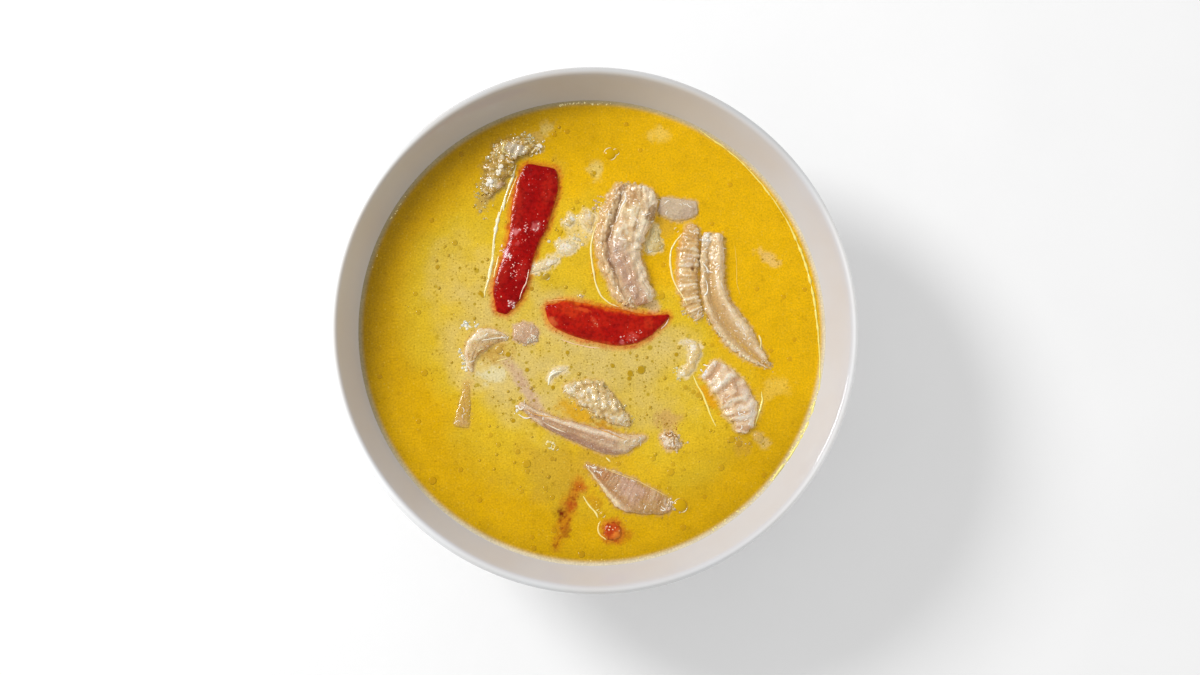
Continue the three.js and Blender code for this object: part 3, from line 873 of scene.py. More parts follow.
@dataclass
class Strip:
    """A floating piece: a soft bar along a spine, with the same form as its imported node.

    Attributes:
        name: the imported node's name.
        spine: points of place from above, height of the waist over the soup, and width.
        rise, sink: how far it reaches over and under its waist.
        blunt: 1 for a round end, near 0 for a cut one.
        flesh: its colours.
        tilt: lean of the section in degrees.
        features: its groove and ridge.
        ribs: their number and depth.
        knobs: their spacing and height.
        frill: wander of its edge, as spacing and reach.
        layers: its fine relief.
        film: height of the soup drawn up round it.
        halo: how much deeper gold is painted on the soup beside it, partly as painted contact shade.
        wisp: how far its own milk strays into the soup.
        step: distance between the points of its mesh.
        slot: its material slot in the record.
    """

    name: str
    spine: tuple[tuple[float, float, float, float], ...]
    rise: float
    sink: float
    blunt: float
    flesh: Flesh
    tilt: float = 0.0
    features: tuple[Feature, ...] = ()
    ribs: tuple[float, float] = (0.0, 0.0)
    knobs: tuple[float, float] = (1.0, 0.0)
    frill: tuple[float, float] = (1.8, 0.4)
    layers: tuple[Layer, ...] = ()
    film: float = 0.3
    halo: float = 0.35
    wisp: float = 0.0
    step: float = 0.28
    slot: str = "tripe"

    SQUARENESS = 0.8
    GIRTH_ABOVE = 0.62  # share of the girth that the ring's upper points stand for
    GIRTH_BELOW = 0.22
    PATCH_FRAY = Wander(4.5, 1.0, 3)
    PATCHY = Fade(-0.35, 0.45)
    # Painted shade in the valleys and a painted highlight on the crests:
    VALLEY_SHADE = Fade(-0.15, -0.95, 0.75)
    CREST_HIGHLIGHT = Fade(0.25, 1.0, 0.7)
    STREAK_FRAY = Wander(1.3, 0.12, 9)
    DAB_FRAY = 0.45
    SHORE_FRAY = Wander(0.9, 0.22, 4)
    SHORE_STRENGTH = 0.7
    SOUP_STRENGTH = 0.85

    def lumps(self, x: np.ndarray, y: np.ndarray, z: np.ndarray) -> np.ndarray:
        """The knobs' pattern: the mean of three waves that cross at a sixth of a turn, out of step."""
        turns = 2 * np.pi / self.knobs[0]
        along, across = math.cos(np.pi / 3) * x, math.sin(np.pi / 3) * y
        waves = (x, along + across, across - along + z)
        return sum(np.sin(turns * way + shift) for way, shift in zip(waves, (0, 2, 4))) / 3

    def shape(self) -> None:
        """Works out the grid of points: rings of a sphere laid across the spine as squarish sections.

        The rings' shares of the length follow a cosine, so that they crowd towards both ends. A point
        of a ring is width times a power of the cosine aside, and rise or sink times a power of the sine
        up. Features, knobs and the frill move it, the section leans, and the fine relief moves it
        along its normal.
        """
        knots = np.array(self.spine)
        length = float(np.linalg.norm(np.diff(knots[:, :2], axis=0), axis=1).sum())
        rows = max(16, int(length * math.pi / 2 / self.step))
        girth = 2 * knots[:, 3].max() + 2 * (self.rise + self.sink)
        above = max(14, int(self.GIRTH_ABOVE * girth / self.step))
        below = max(8, int(self.GIRTH_BELOW * girth / self.step))
        polar = np.pi * np.arange(1, rows) / rows
        turn = np.concatenate([np.linspace(0, np.pi, above, endpoint=False),
                               np.linspace(np.pi, 2 * np.pi, below, endpoint=False)])[None, :]
        share, cap = (1 - np.cos(polar)) / 2, (np.sin(polar) ** self.blunt)[:, None]
        centre = spline(knots[:, :3], share, True)
        width = spline(knots[:, 3:], share, False)
        ahead = spline(knots[:, :3], share + 1e-4, True) - spline(knots[:, :3], share - 1e-4, True)
        ahead = ahead[:, :2] / np.linalg.norm(ahead[:, :2], axis=1)[:, None]
        u = np.sign(np.cos(turn)) * np.abs(np.cos(turn)) ** self.SQUARENESS
        v = np.sign(np.sin(turn)) * np.abs(np.sin(turn)) ** self.SQUARENESS
        seed = sum(map(ord, self.name))
        relief = sum((feature.lift(u) for feature in self.features), np.zeros_like(u))
        relief = relief - self.ribs[1] * (1 - np.cos(2 * np.pi * self.ribs[0] * share[:, None])) / 2
        side = u * cap * width / 2
        up = v * cap * np.where(v > 0, self.rise + relief, self.sink)
        swell = cap * self.knobs[1] * self.lumps(centre[:, :1] + side, centre[:, 1:2], up)
        side, up = side + u * swell, up + v * swell
        run = np.broadcast_to(share[:, None] * length, side.shape)
        edge = layered(np.stack([run, np.sign(side), 0 * side], axis=-1) / [self.frill[0], 1, 1], seed) * 1.3
        side = side + self.frill[1] * edge * np.sign(u) * np.abs(u) ** 3 * cap
        lean = math.radians(self.tilt)
        across = side * math.cos(lean) - up * math.sin(lean)
        lift = side * math.sin(lean) + up * math.cos(lean)
        points = np.stack([centre[:, :1] - ahead[:, 1:] * across, centre[:, 1:2] + ahead[:, :1] * across,
                           LEVEL + centre[:, 2:] + lift], axis=-1)
        own = np.stack([run, side, up], axis=-1)
        valley, moved = np.zeros(side.shape), np.zeros(side.shape)
        for number, layer in enumerate(self.layers):
            value = layer.pattern(own, seed + 20 * number + 11) * layer.cover(u, share[:, None])
            valley, moved = valley + value, moved + layer.height * value
        normal = self.normals(points, centre)
        self.grid = points + normal * (moved * smooth(0.1, 0.6, cap))[..., None]
        self.normal = self.normals(self.grid, centre)
        self.across, self.share, self.valley = np.broadcast_to(u, side.shape), share, valley
        self.tips = np.array([knots[0, :3], knots[-1, :3]]) + [0, 0, LEVEL]
        self.side, self.seed = across, seed

    @staticmethod
    def normals(points: np.ndarray, centre: np.ndarray) -> np.ndarray:
        """Unit normals of a grid: the cross product of its two directions, turned outwards."""
        along = np.gradient(points, axis=0)
        around = np.roll(points, -1, axis=1) - np.roll(points, 1, axis=1)
        normal = np.cross(along, around)
        normal /= np.linalg.norm(normal, axis=-1)[..., None] + 1e-12
        middle = centre + np.array([0, 0, LEVEL])
        outwards = np.einsum("ijk,ijk->", normal, points - middle[:, None, :])
        return normal if outwards > 0 else -normal

    def colours(self, soup: Callable[[np.ndarray, np.ndarray], np.ndarray]) -> np.ndarray:
        """Paints the grid: body and patches, painted shade in the valleys and painted highlight on the
        crests, streaks and dabs, then the shore.

        Args:
            soup: gives the soup's colour at places seen from above.

        Returns:
            The linear colour of each point.
        """
        flesh, grid = self.flesh, self.grid
        shape = grid.shape[:2]
        wander = self.PATCHY.at(self.PATCH_FRAY.at(grid, self.seed))
        paint = blend(np.broadcast_to(linear(flesh.body), (*shape, 3)), linear(flesh.patch), wander)
        # Painted shade in the valleys, painted highlight on the crests.
        paint = blend(paint, linear(flesh.hollow), self.VALLEY_SHADE.at(self.valley))
        paint = blend(paint, linear(flesh.crest), self.CREST_HIGHLIGHT.at(self.valley))
        fray = self.STREAK_FRAY.at(grid, self.seed)
        for streak in flesh.streaks:
            mask = streak.mask(self.across + fray, self.share[:, None])
            paint = blend(paint, linear(streak.tint), mask)
        for dab in flesh.dabs:
            mask = dab.mask(grid[..., 0], grid[..., 1], self.DAB_FRAY, self.seed)
            paint = blend(paint, linear(dab.tint), mask)
        height = grid[..., 2] - LEVEL - self.film + self.SHORE_FRAY.at(grid, self.seed)
        mask = smooth(flesh.shore_width, 0.0, height)
        if flesh.shore:
            return blend(paint, linear(flesh.shore), mask * self.SHORE_STRENGTH)
        wet = (mask > 0) & (grid[..., 2] > LEVEL - 1)
        paint[wet] = blend(paint[wet], soup(grid[wet, 0], grid[wet, 1]), mask[wet] * self.SOUP_STRENGTH)
        return paint

    def outline(self) -> np.ndarray:
        """The line where the soup's film meets the piece, as a closed ring of places from above."""
        wet = self.grid[..., 2] > LEVEL + self.film
        shown = wet.any(axis=1)
        if shown.sum() < 4:
            return np.zeros((0, 2))
        offset = np.where(wet, self.side, np.nan)[shown]
        rows = np.flatnonzero(shown)
        left = self.grid[rows, np.nanargmax(offset, axis=1), :2]
        right = self.grid[rows, np.nanargmin(offset, axis=1), :2]
        kernel = np.ones(5) / 5
        ease = [np.stack([np.convolve(np.pad(line[:, axis], 2, "edge"), kernel, "valid")
                          for axis in range(2)], axis=1) for line in (left, right)]
        return np.vstack([ease[0], ease[1][::-1]])

    def area_shown(self) -> float:
        """Area of the outline seen from above: half the sum of its corners' cross products."""
        ring = self.outline()
        x, y = ring.T if len(ring) else np.zeros((2, 1))
        return abs(float(np.sum(x * np.roll(y, -1) - y * np.roll(x, -1)))) / 2

    def surface(self, soup: Callable[[np.ndarray, np.ndarray], np.ndarray]) -> Surface:
        """The closed mesh: the grid's rings and a fan onto the tip at each end, painted."""
        paint = self.colours(soup)
        tips = [paint[0].mean(axis=0), paint[-1].mean(axis=0)]
        points = np.vstack([self.grid.reshape(-1, 3), self.tips])
        paint = np.vstack([paint.reshape(-1, 3), tips])
        return Surface(points, tube_faces(*self.grid.shape[:2]), paint).outward()


BEADS, FOLDS, GRAIN, PITS, RIBS = Relief
MILKY = Flesh(body=(238, 217, 172), patch=(228, 198, 132), hollow=(220, 180, 98), crest=(255, 251, 238),
              shore_width=0.45,
              dabs=(Dab((-9.4, 28.4), 1.7, (251, 246, 234), 0.8, 1.5),
                    Dab((-6.8, 38.3), 1.5, (255, 251, 242), 0.85),
                    Dab((-2.3, 38.6), 1.6, (244, 228, 200), 0.6, 1.3, 70),
                    Dab((-14.6, 23.1), 1.2, (250, 240, 226), 0.7, 2.0, 25),
                    Dab((33.7, -5.6), 1.4, (253, 246, 226), 0.8),
                    Dab((29.8, -14.4), 1.3, (252, 244, 226), 0.75),
                    Dab((-13.9, -14.6), 1.0, (255, 251, 236), 0.8, 2.0, 40)))


def milky(name: str, spine: tuple, rise: float, sink: float, blunt: float, relief: Layer,
          step: float = 0.18, frill: Range = (1.8, 0.4)) -> Strip:
    """A scrap of milky fat: a high film round it, and wisps of its own milk in the soup."""
    return Strip(name, spine, rise, sink, blunt, MILKY, film=0.35, halo=0.0, wisp=1.3, step=step,
                 frill=frill, layers=(relief,))


PEPPER_LONG = Strip(
    "pepper_long",
    ((-18.0, 56.0, 0.2, 14.0), (-19.2, 49.3, 0.2, 15.2), (-22.0, 37.0, 0.2, 13.2), (-24.4, 28.5, 0.1, 10.2),
     (-27.9, 16.7, 0.1, 11.4), (-29.5, 11.2, 0, 10.0), (-31.1, 5.6, -0.3, 5.5)),
    rise=1.5, sink=2.6, blunt=0.2, tilt=3, frill=(3.0, 0.2), slot="pepper",
    layers=(Layer(GRAIN, (4.5, 3.5), 0.2),),
    flesh=Flesh(
        body=(174, 12, 7), patch=(156, 4, 5), hollow=(142, 2, 3), crest=(192, 28, 14),
        shore=(218, 106, 28), shore_width=0.3,
        streaks=(Streak(-0.99, 0.12, (224, 112, 34), 0.85), Streak(1.0, 0.06, (210, 80, 18), 0.8),
                 Streak(-0.62, 0.28, (192, 44, 26), 0.4, (0.2, 0.75)),
                 Streak(0.0, 2.0, (140, 6, 8), 0.5, (-0.1, 0.1))),
        # The pale pink dabs are painted highlights.
        dabs=(Dab((-19.6, 35.0), 2.0, (220, 120, 118), 0.55),
              Dab((-26.7, 33.1), 1.7, (232, 150, 150), 0.55),
              Dab((-30.0, 26.2), 1.8, (232, 170, 190), 0.6), Dab((-28.0, 9.0), 1.5, (214, 110, 116), 0.5),
              Dab((-26.0, 29.0), 1.2, (214, 90, 88), 0.4),
              Dab((-15.5, 48.0), 3.0, (192, 36, 20), 0.6, 2.2, 80),
              Dab((-22.0, 44.0), 2.6, (150, 6, 8), 0.6, 2.4, 75),
              Dab((-24.5, 20.0), 2.4, (198, 40, 30), 0.5, 1.8, 70)),
    ),
)

PEPPER_SHORT = Strip(
    "pepper_short",
    ((-16.0, 8.0, 0, 3.0), (-12.4, 5.8, 0.1, 9.8), (-6.2, 3.9, 0.3, 11.8), (2.9, 1.9, 0.3, 12.4),
     (11.0, 0.9, 0.3, 12.0), (17.4, 1.9, 0.2, 9.0), (25.5, 5.3, -0.1, 2.0)),
    rise=1.7, sink=2.8, blunt=0.3, tilt=4, frill=(3.0, 0.15), slot="pepper",
    layers=(Layer(GRAIN, (5.0, 3.5), 0.2),),
    flesh=Flesh(
        body=(192, 28, 10), patch=(178, 14, 7), hollow=(164, 8, 5), crest=(208, 50, 22),
        shore=(224, 110, 30), shore_width=0.3,
        streaks=(Streak(0.97, 0.13, (228, 104, 16), 0.9), Streak(-0.99, 0.09, (212, 80, 30), 0.7)),
        # The pale pink dabs at the lower right and the thin dab along the ridge are painted highlights.
        dabs=(Dab((13.0, -2.2), 2.2, (222, 86, 74), 0.5), Dab((9.5, -4.0), 1.2, (228, 120, 120), 0.5),
              Dab((-14.4, 3.0), 2.4, (224, 112, 56), 0.65),
              Dab((-8.5, 6.6), 3.4, (208, 54, 16), 0.7, 1.6, -20),
              Dab((-3.5, -1.0), 3.2, (160, 12, 8), 0.6, 1.6, 20),
              Dab((0.2, 2.8), 0.9, (222, 78, 44), 0.6, 3.4, -55),
              Dab((9.0, 3.4), 2.6, (166, 14, 8), 0.6, 1.8),
              Dab((-9.6, 3.6), 2.0, (160, 8, 5), 0.65, 2.2, -15),
              Dab((-4.0, 6.9), 0.9, (226, 88, 34), 0.6, 4.0, -12),
              Dab((18.5, 2.6), 2.4, (206, 52, 22), 0.6)),
    ),
)

PEPPER_BIT = Strip(
    "pepper_bit", ((3.2, -67.4, 0, 6.2), (9.4, -67.2, 0, 6.2)),
    rise=1.2, sink=2.4, blunt=0.9, frill=(2.0, 0.35), slot="pepper", step=0.2,
    layers=(Layer(GRAIN, (1.8, 1.8), 0.16),),
    flesh=Flesh(body=(212, 84, 26), patch=(200, 62, 18), hollow=(176, 50, 14), crest=(226, 112, 48),
                shore_width=1.0,
                dabs=(Dab((8.6, -68.8), 2.4, (240, 140, 50), 0.85, 1.4),
                      Dab((4.4, -65.6), 1.7, (176, 46, 18), 0.5, 1.5, 60))),
)

TRIPE_FOLDED = Strip(
    "tripe_folded",
    ((13.2, 49.6, 0.2, 16.0), (12.8, 43.7, 0.6, 18.4), (11.2, 38.6, 0.8, 18.2), (9.0, 32.6, 0.9, 16.8),
     (8.3, 26.6, 0.8, 15.2), (10.2, 20.6, 0.6, 13.8), (12.6, 14.8, 0.3, 13.4), (15.2, 11.2, 0, 12.2),
     (16.0, 8.8, -0.3, 11.0)),
    rise=3.0, sink=4.4, blunt=0.18, tilt=5, features=(Feature(-0.43, 0.16, -1.9),), knobs=(4.2, 0.45),
    frill=(1.8, 0.5), film=0.45,
    layers=(Layer(BEADS, (1.5, 1.3), 0.34, across=(-1.2, -0.5)),
            Layer(BEADS, (1.6, 1.4), 0.24, share=(-1, 0.12)),
            Layer(FOLDS, (9.0, 1.3), 0.2, across=(-0.35, 0.9)),
            Layer(GRAIN, (1.4, 1.0), 0.16, share=(-1, 0.5)),
            Layer(GRAIN, (6.0, 0.8), 0.1, share=(0.4, 2)),
            Layer(GRAIN, (5.0, 3.5), 0.18, share=(-1, 0.55))),
    flesh=Flesh(
        body=(233, 206, 160), patch=(222, 186, 140), hollow=(190, 144, 92), crest=(246, 232, 202),
        streaks=(Streak(-0.85, 0.2, (220, 172, 100), 0.5),
                 # Painted shade: the groove painted dark brown.
                 Streak(-0.43, 0.08, (128, 84, 36), 0.75, (0.03, 0.62)),
                 Streak(-0.05, 0.42, (194, 154, 134), 0.75, (0.42, 1.0)),
                 Streak(0.35, 0.16, (202, 158, 128), 0.6, (0.5, 1.0)),
                 Streak(0.75, 0.2, (244, 226, 198), 0.75)),
        # Painted shade: the dark hollow at the upper right.
        dabs=(Dab((19.2, 39.5), 2.4, (152, 108, 48), 0.8, 1.7, 70.0),
              Dab((16.0, 8.8), 3.2, (196, 146, 106), 0.6)),
    ),
)

TRIPE_LOBE = milky(
    "tripe_lobe", ((-2.9, 41.2, 0, 3.0), (-2.2, 38.0, 0.2, 4.8), (-1.3, 33.8, 0, 2.4)),
    rise=0.8, sink=1.6, blunt=0.7, relief=Layer(GRAIN, (1.4, 1.2), 0.14), step=0.2,
)

TRIPE_CHIP = Strip(
    "tripe_chip", ((22.3, 43.1, 0, 6.4), (28.5, 41.3, 0.1, 7.8), (35.2, 42.1, 0, 5.8)),
    rise=0.9, sink=1.8, blunt=0.12, film=0.2, step=0.2, frill=(2.4, 0.2),
    layers=(Layer(GRAIN, (3.0, 2.0), 0.06),),
    flesh=Flesh(body=(210, 187, 156), patch=(202, 177, 150), hollow=(184, 156, 124), crest=(228, 212, 190),
                streaks=(Streak(-0.95, 0.12, (226, 186, 90), 0.6),)),
)

TRIPE_TAG = Strip(
    "tripe_tag",
    ((20.8, 35.8, 0.1, 3.0), (20.6, 32.4, 0.2, 3.2), (20.4, 29.4, 0.1, 6.2), (20.5, 27.0, 0, 6.4)),
    rise=0.9, sink=1.5, blunt=0.4, film=0.3, halo=0.1, wisp=1.0, step=0.2, frill=(1.4, 0.5),
    layers=(Layer(GRAIN, (1.6, 1.4), 0.12),),
    flesh=Flesh(body=(226, 206, 152), patch=(212, 180, 96), hollow=(202, 162, 54), crest=(250, 244, 222),
                shore_width=0.3),
)

TRIPE_RIBBED = Strip(
    "tripe_ribbed",
    ((33.8, 36.4, 0.2, 5.8), (32.4, 30.6, 0.5, 7.0), (32.0, 22.5, 0.5, 7.2), (32.0, 15.1, 0.3, 6.8),
     (33.6, 8.8, 0.1, 6.4), (35.8, 4.2, -0.3, 4.8)),
    rise=2.1, sink=3.6, blunt=0.28, tilt=4, ribs=(8, 0.5), frill=(1.3, 0.4), film=0.4, step=0.24,
    layers=(Layer(RIBS, (1.5, 1.6), 0.1), Layer(FOLDS, (2.2, 5.0), 0.12), Layer(GRAIN, (1.0, 1.0), 0.16)),
    flesh=Flesh(
        body=(232, 202, 150), patch=(222, 184, 126), hollow=(210, 162, 96), crest=(246, 234, 208),
        # The dark streak on the right edge is painted shade in the gap beside the trough.
        streaks=(Streak(-0.97, 0.16, (226, 164, 72), 0.5), Streak(0.98, 0.12, (160, 114, 54), 0.5)),
        dabs=(Dab((33.2, 21.1), 0.9, (120, 72, 22), 0.9), Dab((32.0, 24.0), 3.0, (200, 166, 146), 0.35)),
    ),
)

TRIPE_TROUGH = Strip(
    "tripe_trough",
    ((40.6, 33.4, 0.3, 8.0), (40.3, 25.2, 0.4, 8.4), (40.3, 18.0, 0.4, 8.6), (41.4, 11.0, 0.3, 9.0),
     (44.9, 4.2, 0.2, 10.4), (49.1, -1.5, 0.1, 10.4), (53.4, -6.4, -0.1, 7.8), (59.4, -11.8, -0.3, 2.6)),
    rise=1.9, sink=3.8, blunt=0.15, features=(Feature(-0.25, 0.35, -1.5), Feature(0.62, 0.3, 0.8)),
    frill=(1.6, 0.35), film=0.35, step=0.26,
    layers=(Layer(BEADS, (1.5, 1.4), 0.32, across=(-1.2, 0.35), share=(-1, 0.2)),
            Layer(GRAIN, (2.2, 1.2), 0.12), Layer(FOLDS, (8.0, 1.6), 0.12, across=(0.2, 1.2)),
            Layer(BEADS, (1.3, 1.2), 0.2, across=(-1.2, -0.75), share=(0.45, 1.0))),
    flesh=Flesh(
        body=(226, 195, 145), patch=(218, 182, 130), hollow=(200, 154, 94), crest=(246, 230, 204),
        streaks=(Streak(-0.15, 0.3, (206, 164, 100), 0.85, (0.2, 0.95)),
                 Streak(0.62, 0.28, (242, 216, 172), 0.65),
                 # Painted highlight: the pale wet rim on the left edge.
                 Streak(-0.8, 0.1, (238, 216, 176), 0.6)),
        dabs=(Dab((37.9, 30.6), 2.2, (246, 234, 214), 0.5),),
    ),
)

TRIPE_BLOCK = Strip(
    "tripe_block",
    ((38.5, -12.4, 0.1, 9.4), (43.0, -16.2, 0.4, 10.6), (46.8, -20.9, 0.5, 11.4), (49.4, -25.8, 0.4, 12.0),
     (50.6, -30.4, 0.2, 8.2), (49.9, -34.2, -0.2, 4.6)),
    rise=2.5, sink=4.0, blunt=0.2, tilt=-4, ribs=(4.5, 0.5), knobs=(4.6, 0.3), frill=(2.0, 0.4), film=0.4,
    layers=(Layer(RIBS, (3.2, 7.0), 0.17), Layer(FOLDS, (2.8, 12.0), 0.14), Layer(GRAIN, (1.4, 1.4), 0.1)),
    flesh=Flesh(
        body=(241, 216, 180), patch=(232, 200, 164), hollow=(208, 160, 114), crest=(252, 240, 222),
        streaks=(Streak(-0.97, 0.12, (238, 206, 140), 0.6), Streak(0.97, 0.1, (240, 212, 150), 0.5),
                 Streak(0.6, 0.22, (248, 238, 222), 0.5, (0.4, 0.85))),
        dabs=(Dab((36.2, -14.2), 2.4, (230, 230, 232), 0.6),
              Dab((47.2, -17.5), 1.2, (172, 124, 84), 0.5, 2.2, 115)),
    ),
)

TRIPE_LUMP = Strip(
    "tripe_lump", ((54.6, -33.9, 0, 2.8), (56.6, -37.6, 0, 3.0)),
    rise=0.6, sink=1.6, blunt=0.9, film=0.15, halo=0.1, step=0.2, layers=(Layer(GRAIN, (1.6, 1.6), 0.12),),
    flesh=Flesh(body=(226, 192, 110), patch=(220, 182, 90), hollow=(208, 162, 60), crest=(236, 212, 150)),
)

TRIPE_CURL = milky(
    "tripe_curl",
    ((28.9, -3.6, -0.1, 2.4), (32.6, -4.0, 0.1, 3.4), (34.2, -6.4, 0.2, 3.6), (33.2, -10.4, 0.2, 2.8),
     (31.6, -13.4, 0.1, 3.4), (28.9, -15.0, 0, 2.6)),
    rise=0.9, sink=1.5, blunt=0.6, relief=Layer(GRAIN, (1.5, 1.3), 0.14), step=0.2, frill=(1.5, 0.5),
)

TRIPE_LONG = Strip(
    "tripe_long",
    ((-24.8, -24.6, 0.1, 3.2), (-20.0, -28.1, 0.3, 4.2), (-13.6, -31.5, 0.4, 5.4), (-6.2, -34.2, 0.5, 6.4),
     (1.9, -37.0, 0.6, 7.8), (7.2, -38.2, 0.5, 8.0), (12.4, -37.4, 0.3, 6.2), (17.6, -35.6, -0.2, 2.4)),
    rise=1.8, sink=3.4, blunt=0.45, tilt=14, features=(Feature(0.5, 0.35, 0.7),), frill=(2.2, 0.2),
    step=0.25,
    layers=(Layer(GRAIN, (2.4, 1.2), 0.14), Layer(FOLDS, (7.0, 1.8), 0.12), Layer(GRAIN, (5.0, 3.0), 0.18)),
    flesh=Flesh(
        body=(218, 182, 142), patch=(206, 166, 130), hollow=(180, 136, 100), crest=(238, 216, 184),
        streaks=(Streak(-0.62, 0.3, (172, 130, 108), 0.75, (0.25, 0.82)),
                 Streak(0.72, 0.2, (246, 228, 200), 0.8, (0.0, 0.75)),
                 Streak(0.2, 0.2, (210, 170, 134), 0.5, (0.1, 0.7)),
                 Streak(0.1, 0.9, (244, 218, 172), 0.85, (0.74, 1.1)),
                 Streak(0.0, 2.0, (238, 220, 196), 0.5, (-0.1, 0.08)),
                 # Painted highlight: the thin bright line along the lower edge.
                 Streak(-0.99, 0.07, (244, 214, 160), 0.5, (0.3, 0.95))),
    ),
)

TRIPE_HONEYCOMB = Strip(
    "tripe_honeycomb",
    ((-10.2, -19.3, -0.1, 4.0), (-2.6, -21.0, 0.3, 9.8), (2.2, -24.0, 0.5, 9.6), (6.6, -27.6, 0.5, 8.2),
     (12.4, -31.6, 0, 3.4)),
    rise=1.9, sink=3.4, blunt=0.5, knobs=(3.4, 0.5), frill=(1.4, 0.7), film=0.35, step=0.24,
    layers=(Layer(BEADS, (2.3, 2.0), 0.2), Layer(PITS, (2.0, 2.0), 0.2), Layer(GRAIN, (1.4, 1.4), 0.1)),
    flesh=Flesh(body=(228, 203, 152), patch=(216, 185, 124), hollow=(190, 150, 84), crest=(248, 238, 214),
                shore_width=0.7),
)

TRIPE_SHRED = milky(
    "tripe_shred", ((-14.9, -17.2, 0, 1.6), (-13.6, -14.2, 0.2, 2.2), (-8.4, -12.5, 0, 2.0)),
    rise=0.7, sink=1.2, blunt=0.7, relief=Layer(GRAIN, (1.2, 1.0), 0.1),
)

TRIPE_WEDGE = Strip(
    "tripe_wedge",
    ((-2.6, -45.2, 0.1, 1.6), (2.6, -48.6, 0.2, 6.0), (7.3, -51.8, 0.2, 9.8), (12.0, -54.9, 0.1, 12.0),
     (17.4, -56.7, 0, 10.4), (22.4, -58.0, -0.1, 8.6), (26.2, -59.2, -0.2, 6.6)),
    rise=0.9, sink=2.0, blunt=0.35, tilt=-3, features=(Feature(-0.8, 0.3, 0.5),), frill=(1.6, 0.3),
    film=0.25, step=0.24,
    layers=(Layer(FOLDS, (0.9, 9.0), 0.13, across=(-0.6, 1.2)),
            Layer(BEADS, (1.2, 1.1), 0.16, across=(-1.2, -0.72)),
            Layer(GRAIN, (1.4, 1.4), 0.06), Layer(PITS, (2.0, 2.0), 0.2, share=(0.6, 1.2))),
    flesh=Flesh(
        body=(203, 162, 120), patch=(194, 148, 104), hollow=(180, 132, 80), crest=(218, 184, 142),
        streaks=(Streak(-0.86, 0.17, (248, 226, 186), 0.95, (0.02, 0.5)),
                 Streak(0.96, 0.1, (244, 214, 160), 0.9, (0.1, 0.9)),
                 Streak(-0.9, 0.2, (196, 156, 92), 0.8, (0.56, 0.96)),
                 Streak(-0.5, 0.2, (188, 138, 84), 0.6, (0.1, 0.6))),
        dabs=(Dab((3.2, -49.0), 3.0, (190, 122, 64), 0.5), Dab((25.0, -58.2), 2.4, (224, 202, 182), 0.5),
              Dab((12.4, -53.4), 4.6, (214, 176, 152), 0.7, 1.5, -30),
              Dab((20.0, -59.5), 3.6, (190, 148, 84), 0.6, 1.8, -10)),
    ),
)

TRIPE_BENT = Strip(
    "tripe_bent",
    ((-28.6, -2.9, -0.2, 2.6), (-32.8, -2.4, 0.3, 5.0), (-36.8, -3.1, 0.7, 7.0), (-39.6, -5.4, 0.7, 6.8),
     (-41.4, -9.2, 0.4, 4.6), (-41.0, -14.4, -0.2, 2.4)),
    rise=1.4, sink=2.2, blunt=0.5, tilt=-16, frill=(1.8, 0.3), film=0.25, step=0.2,
    layers=(Layer(FOLDS, (8.0, 1.3), 0.14), Layer(GRAIN, (1.4, 1.2), 0.1)),
    flesh=Flesh(
        body=(233, 204, 150), patch=(224, 190, 136), hollow=(202, 154, 88), crest=(246, 230, 198),
        # The tan band on the inside of the arch is partly painted shade of its hollow, partly oil in it.
        streaks=(Streak(0.75, 0.3, (216, 162, 88), 0.8, (0.25, 0.75)),
                 Streak(0.05, 0.12, (192, 154, 130), 0.65, (0.1, 0.5)),
                 Streak(-0.85, 0.2, (244, 228, 200), 0.6)),
    ),
)

TRIPE_TAIL = Strip(
    "tripe_tail", ((-42.3, -17.2, -0.5, 2.6), (-42.9, -23.3, -0.4, 3.8), (-44.2, -32.8, -0.2, 6.8)),
    rise=0.8, sink=1.2, blunt=0.2, film=0.12, halo=0.1, step=0.2, frill=(2.0, 0.3),
    layers=(Layer(GRAIN, (1.8, 1.4), 0.1),),
    flesh=Flesh(body=(210, 168, 84), patch=(202, 156, 70), hollow=(188, 142, 56), crest=(226, 192, 120),
                shore_width=0.5, streaks=(Streak(0.0, 2.0, (214, 176, 122), 0.6, (0.82, 1.1)),)),
)

TRIPE_SCRAP = Strip(
    "tripe_scrap", ((-27.0, -1.0, 0, 5.6), (-22.9, -1.2, 0.1, 7.2), (-18.8, -1.8, 0, 5.8)),
    rise=0.8, sink=1.8, blunt=0.3, knobs=(3.6, 0.2), film=0.12, wisp=0.8, step=0.2, frill=(1.6, 0.5),
    layers=(Layer(GRAIN, (1.4, 1.4), 0.16),),
    flesh=Flesh(body=(216, 182, 146), patch=(206, 168, 134), hollow=(192, 154, 100), crest=(240, 222, 196),
                shore_width=0.25),
)

TRIPE_FRILLY = Strip(
    "tripe_frilly",
    ((-18.0, 61.8, -0.1, 3.6), (-24.4, 62.3, 0.3, 6.8), (-30.0, 59.9, 0.4, 7.8), (-32.5, 55.0, 0.3, 8.2),
     (-34.0, 50.0, 0.1, 7.4), (-36.6, 44.2, -0.2, 4.0)),
    rise=1.6, sink=2.8, blunt=0.6, knobs=(3.2, 0.5), frill=(1.4, 0.9), halo=0.1, wisp=1.6, step=0.22,
    layers=(Layer(GRAIN, (2.6, 2.4), 0.34), Layer(BEADS, (1.8, 1.8), 0.14), Layer(PITS, (2.2, 2.2), 0.2)),
    flesh=Flesh(body=(194, 160, 84), patch=(184, 142, 46), hollow=(156, 114, 24), crest=(240, 226, 190),
                shore_width=1.3,
                dabs=(Dab((-26.6, 61.5), 3.2, (206, 190, 162), 0.95, 1.5, 10),
                      Dab((-31.0, 47.0), 2.0, (214, 180, 160), 0.5, 2, 100),
                      Dab((-37.0, 43.5), 3.0, (168, 128, 62), 0.6))),
)

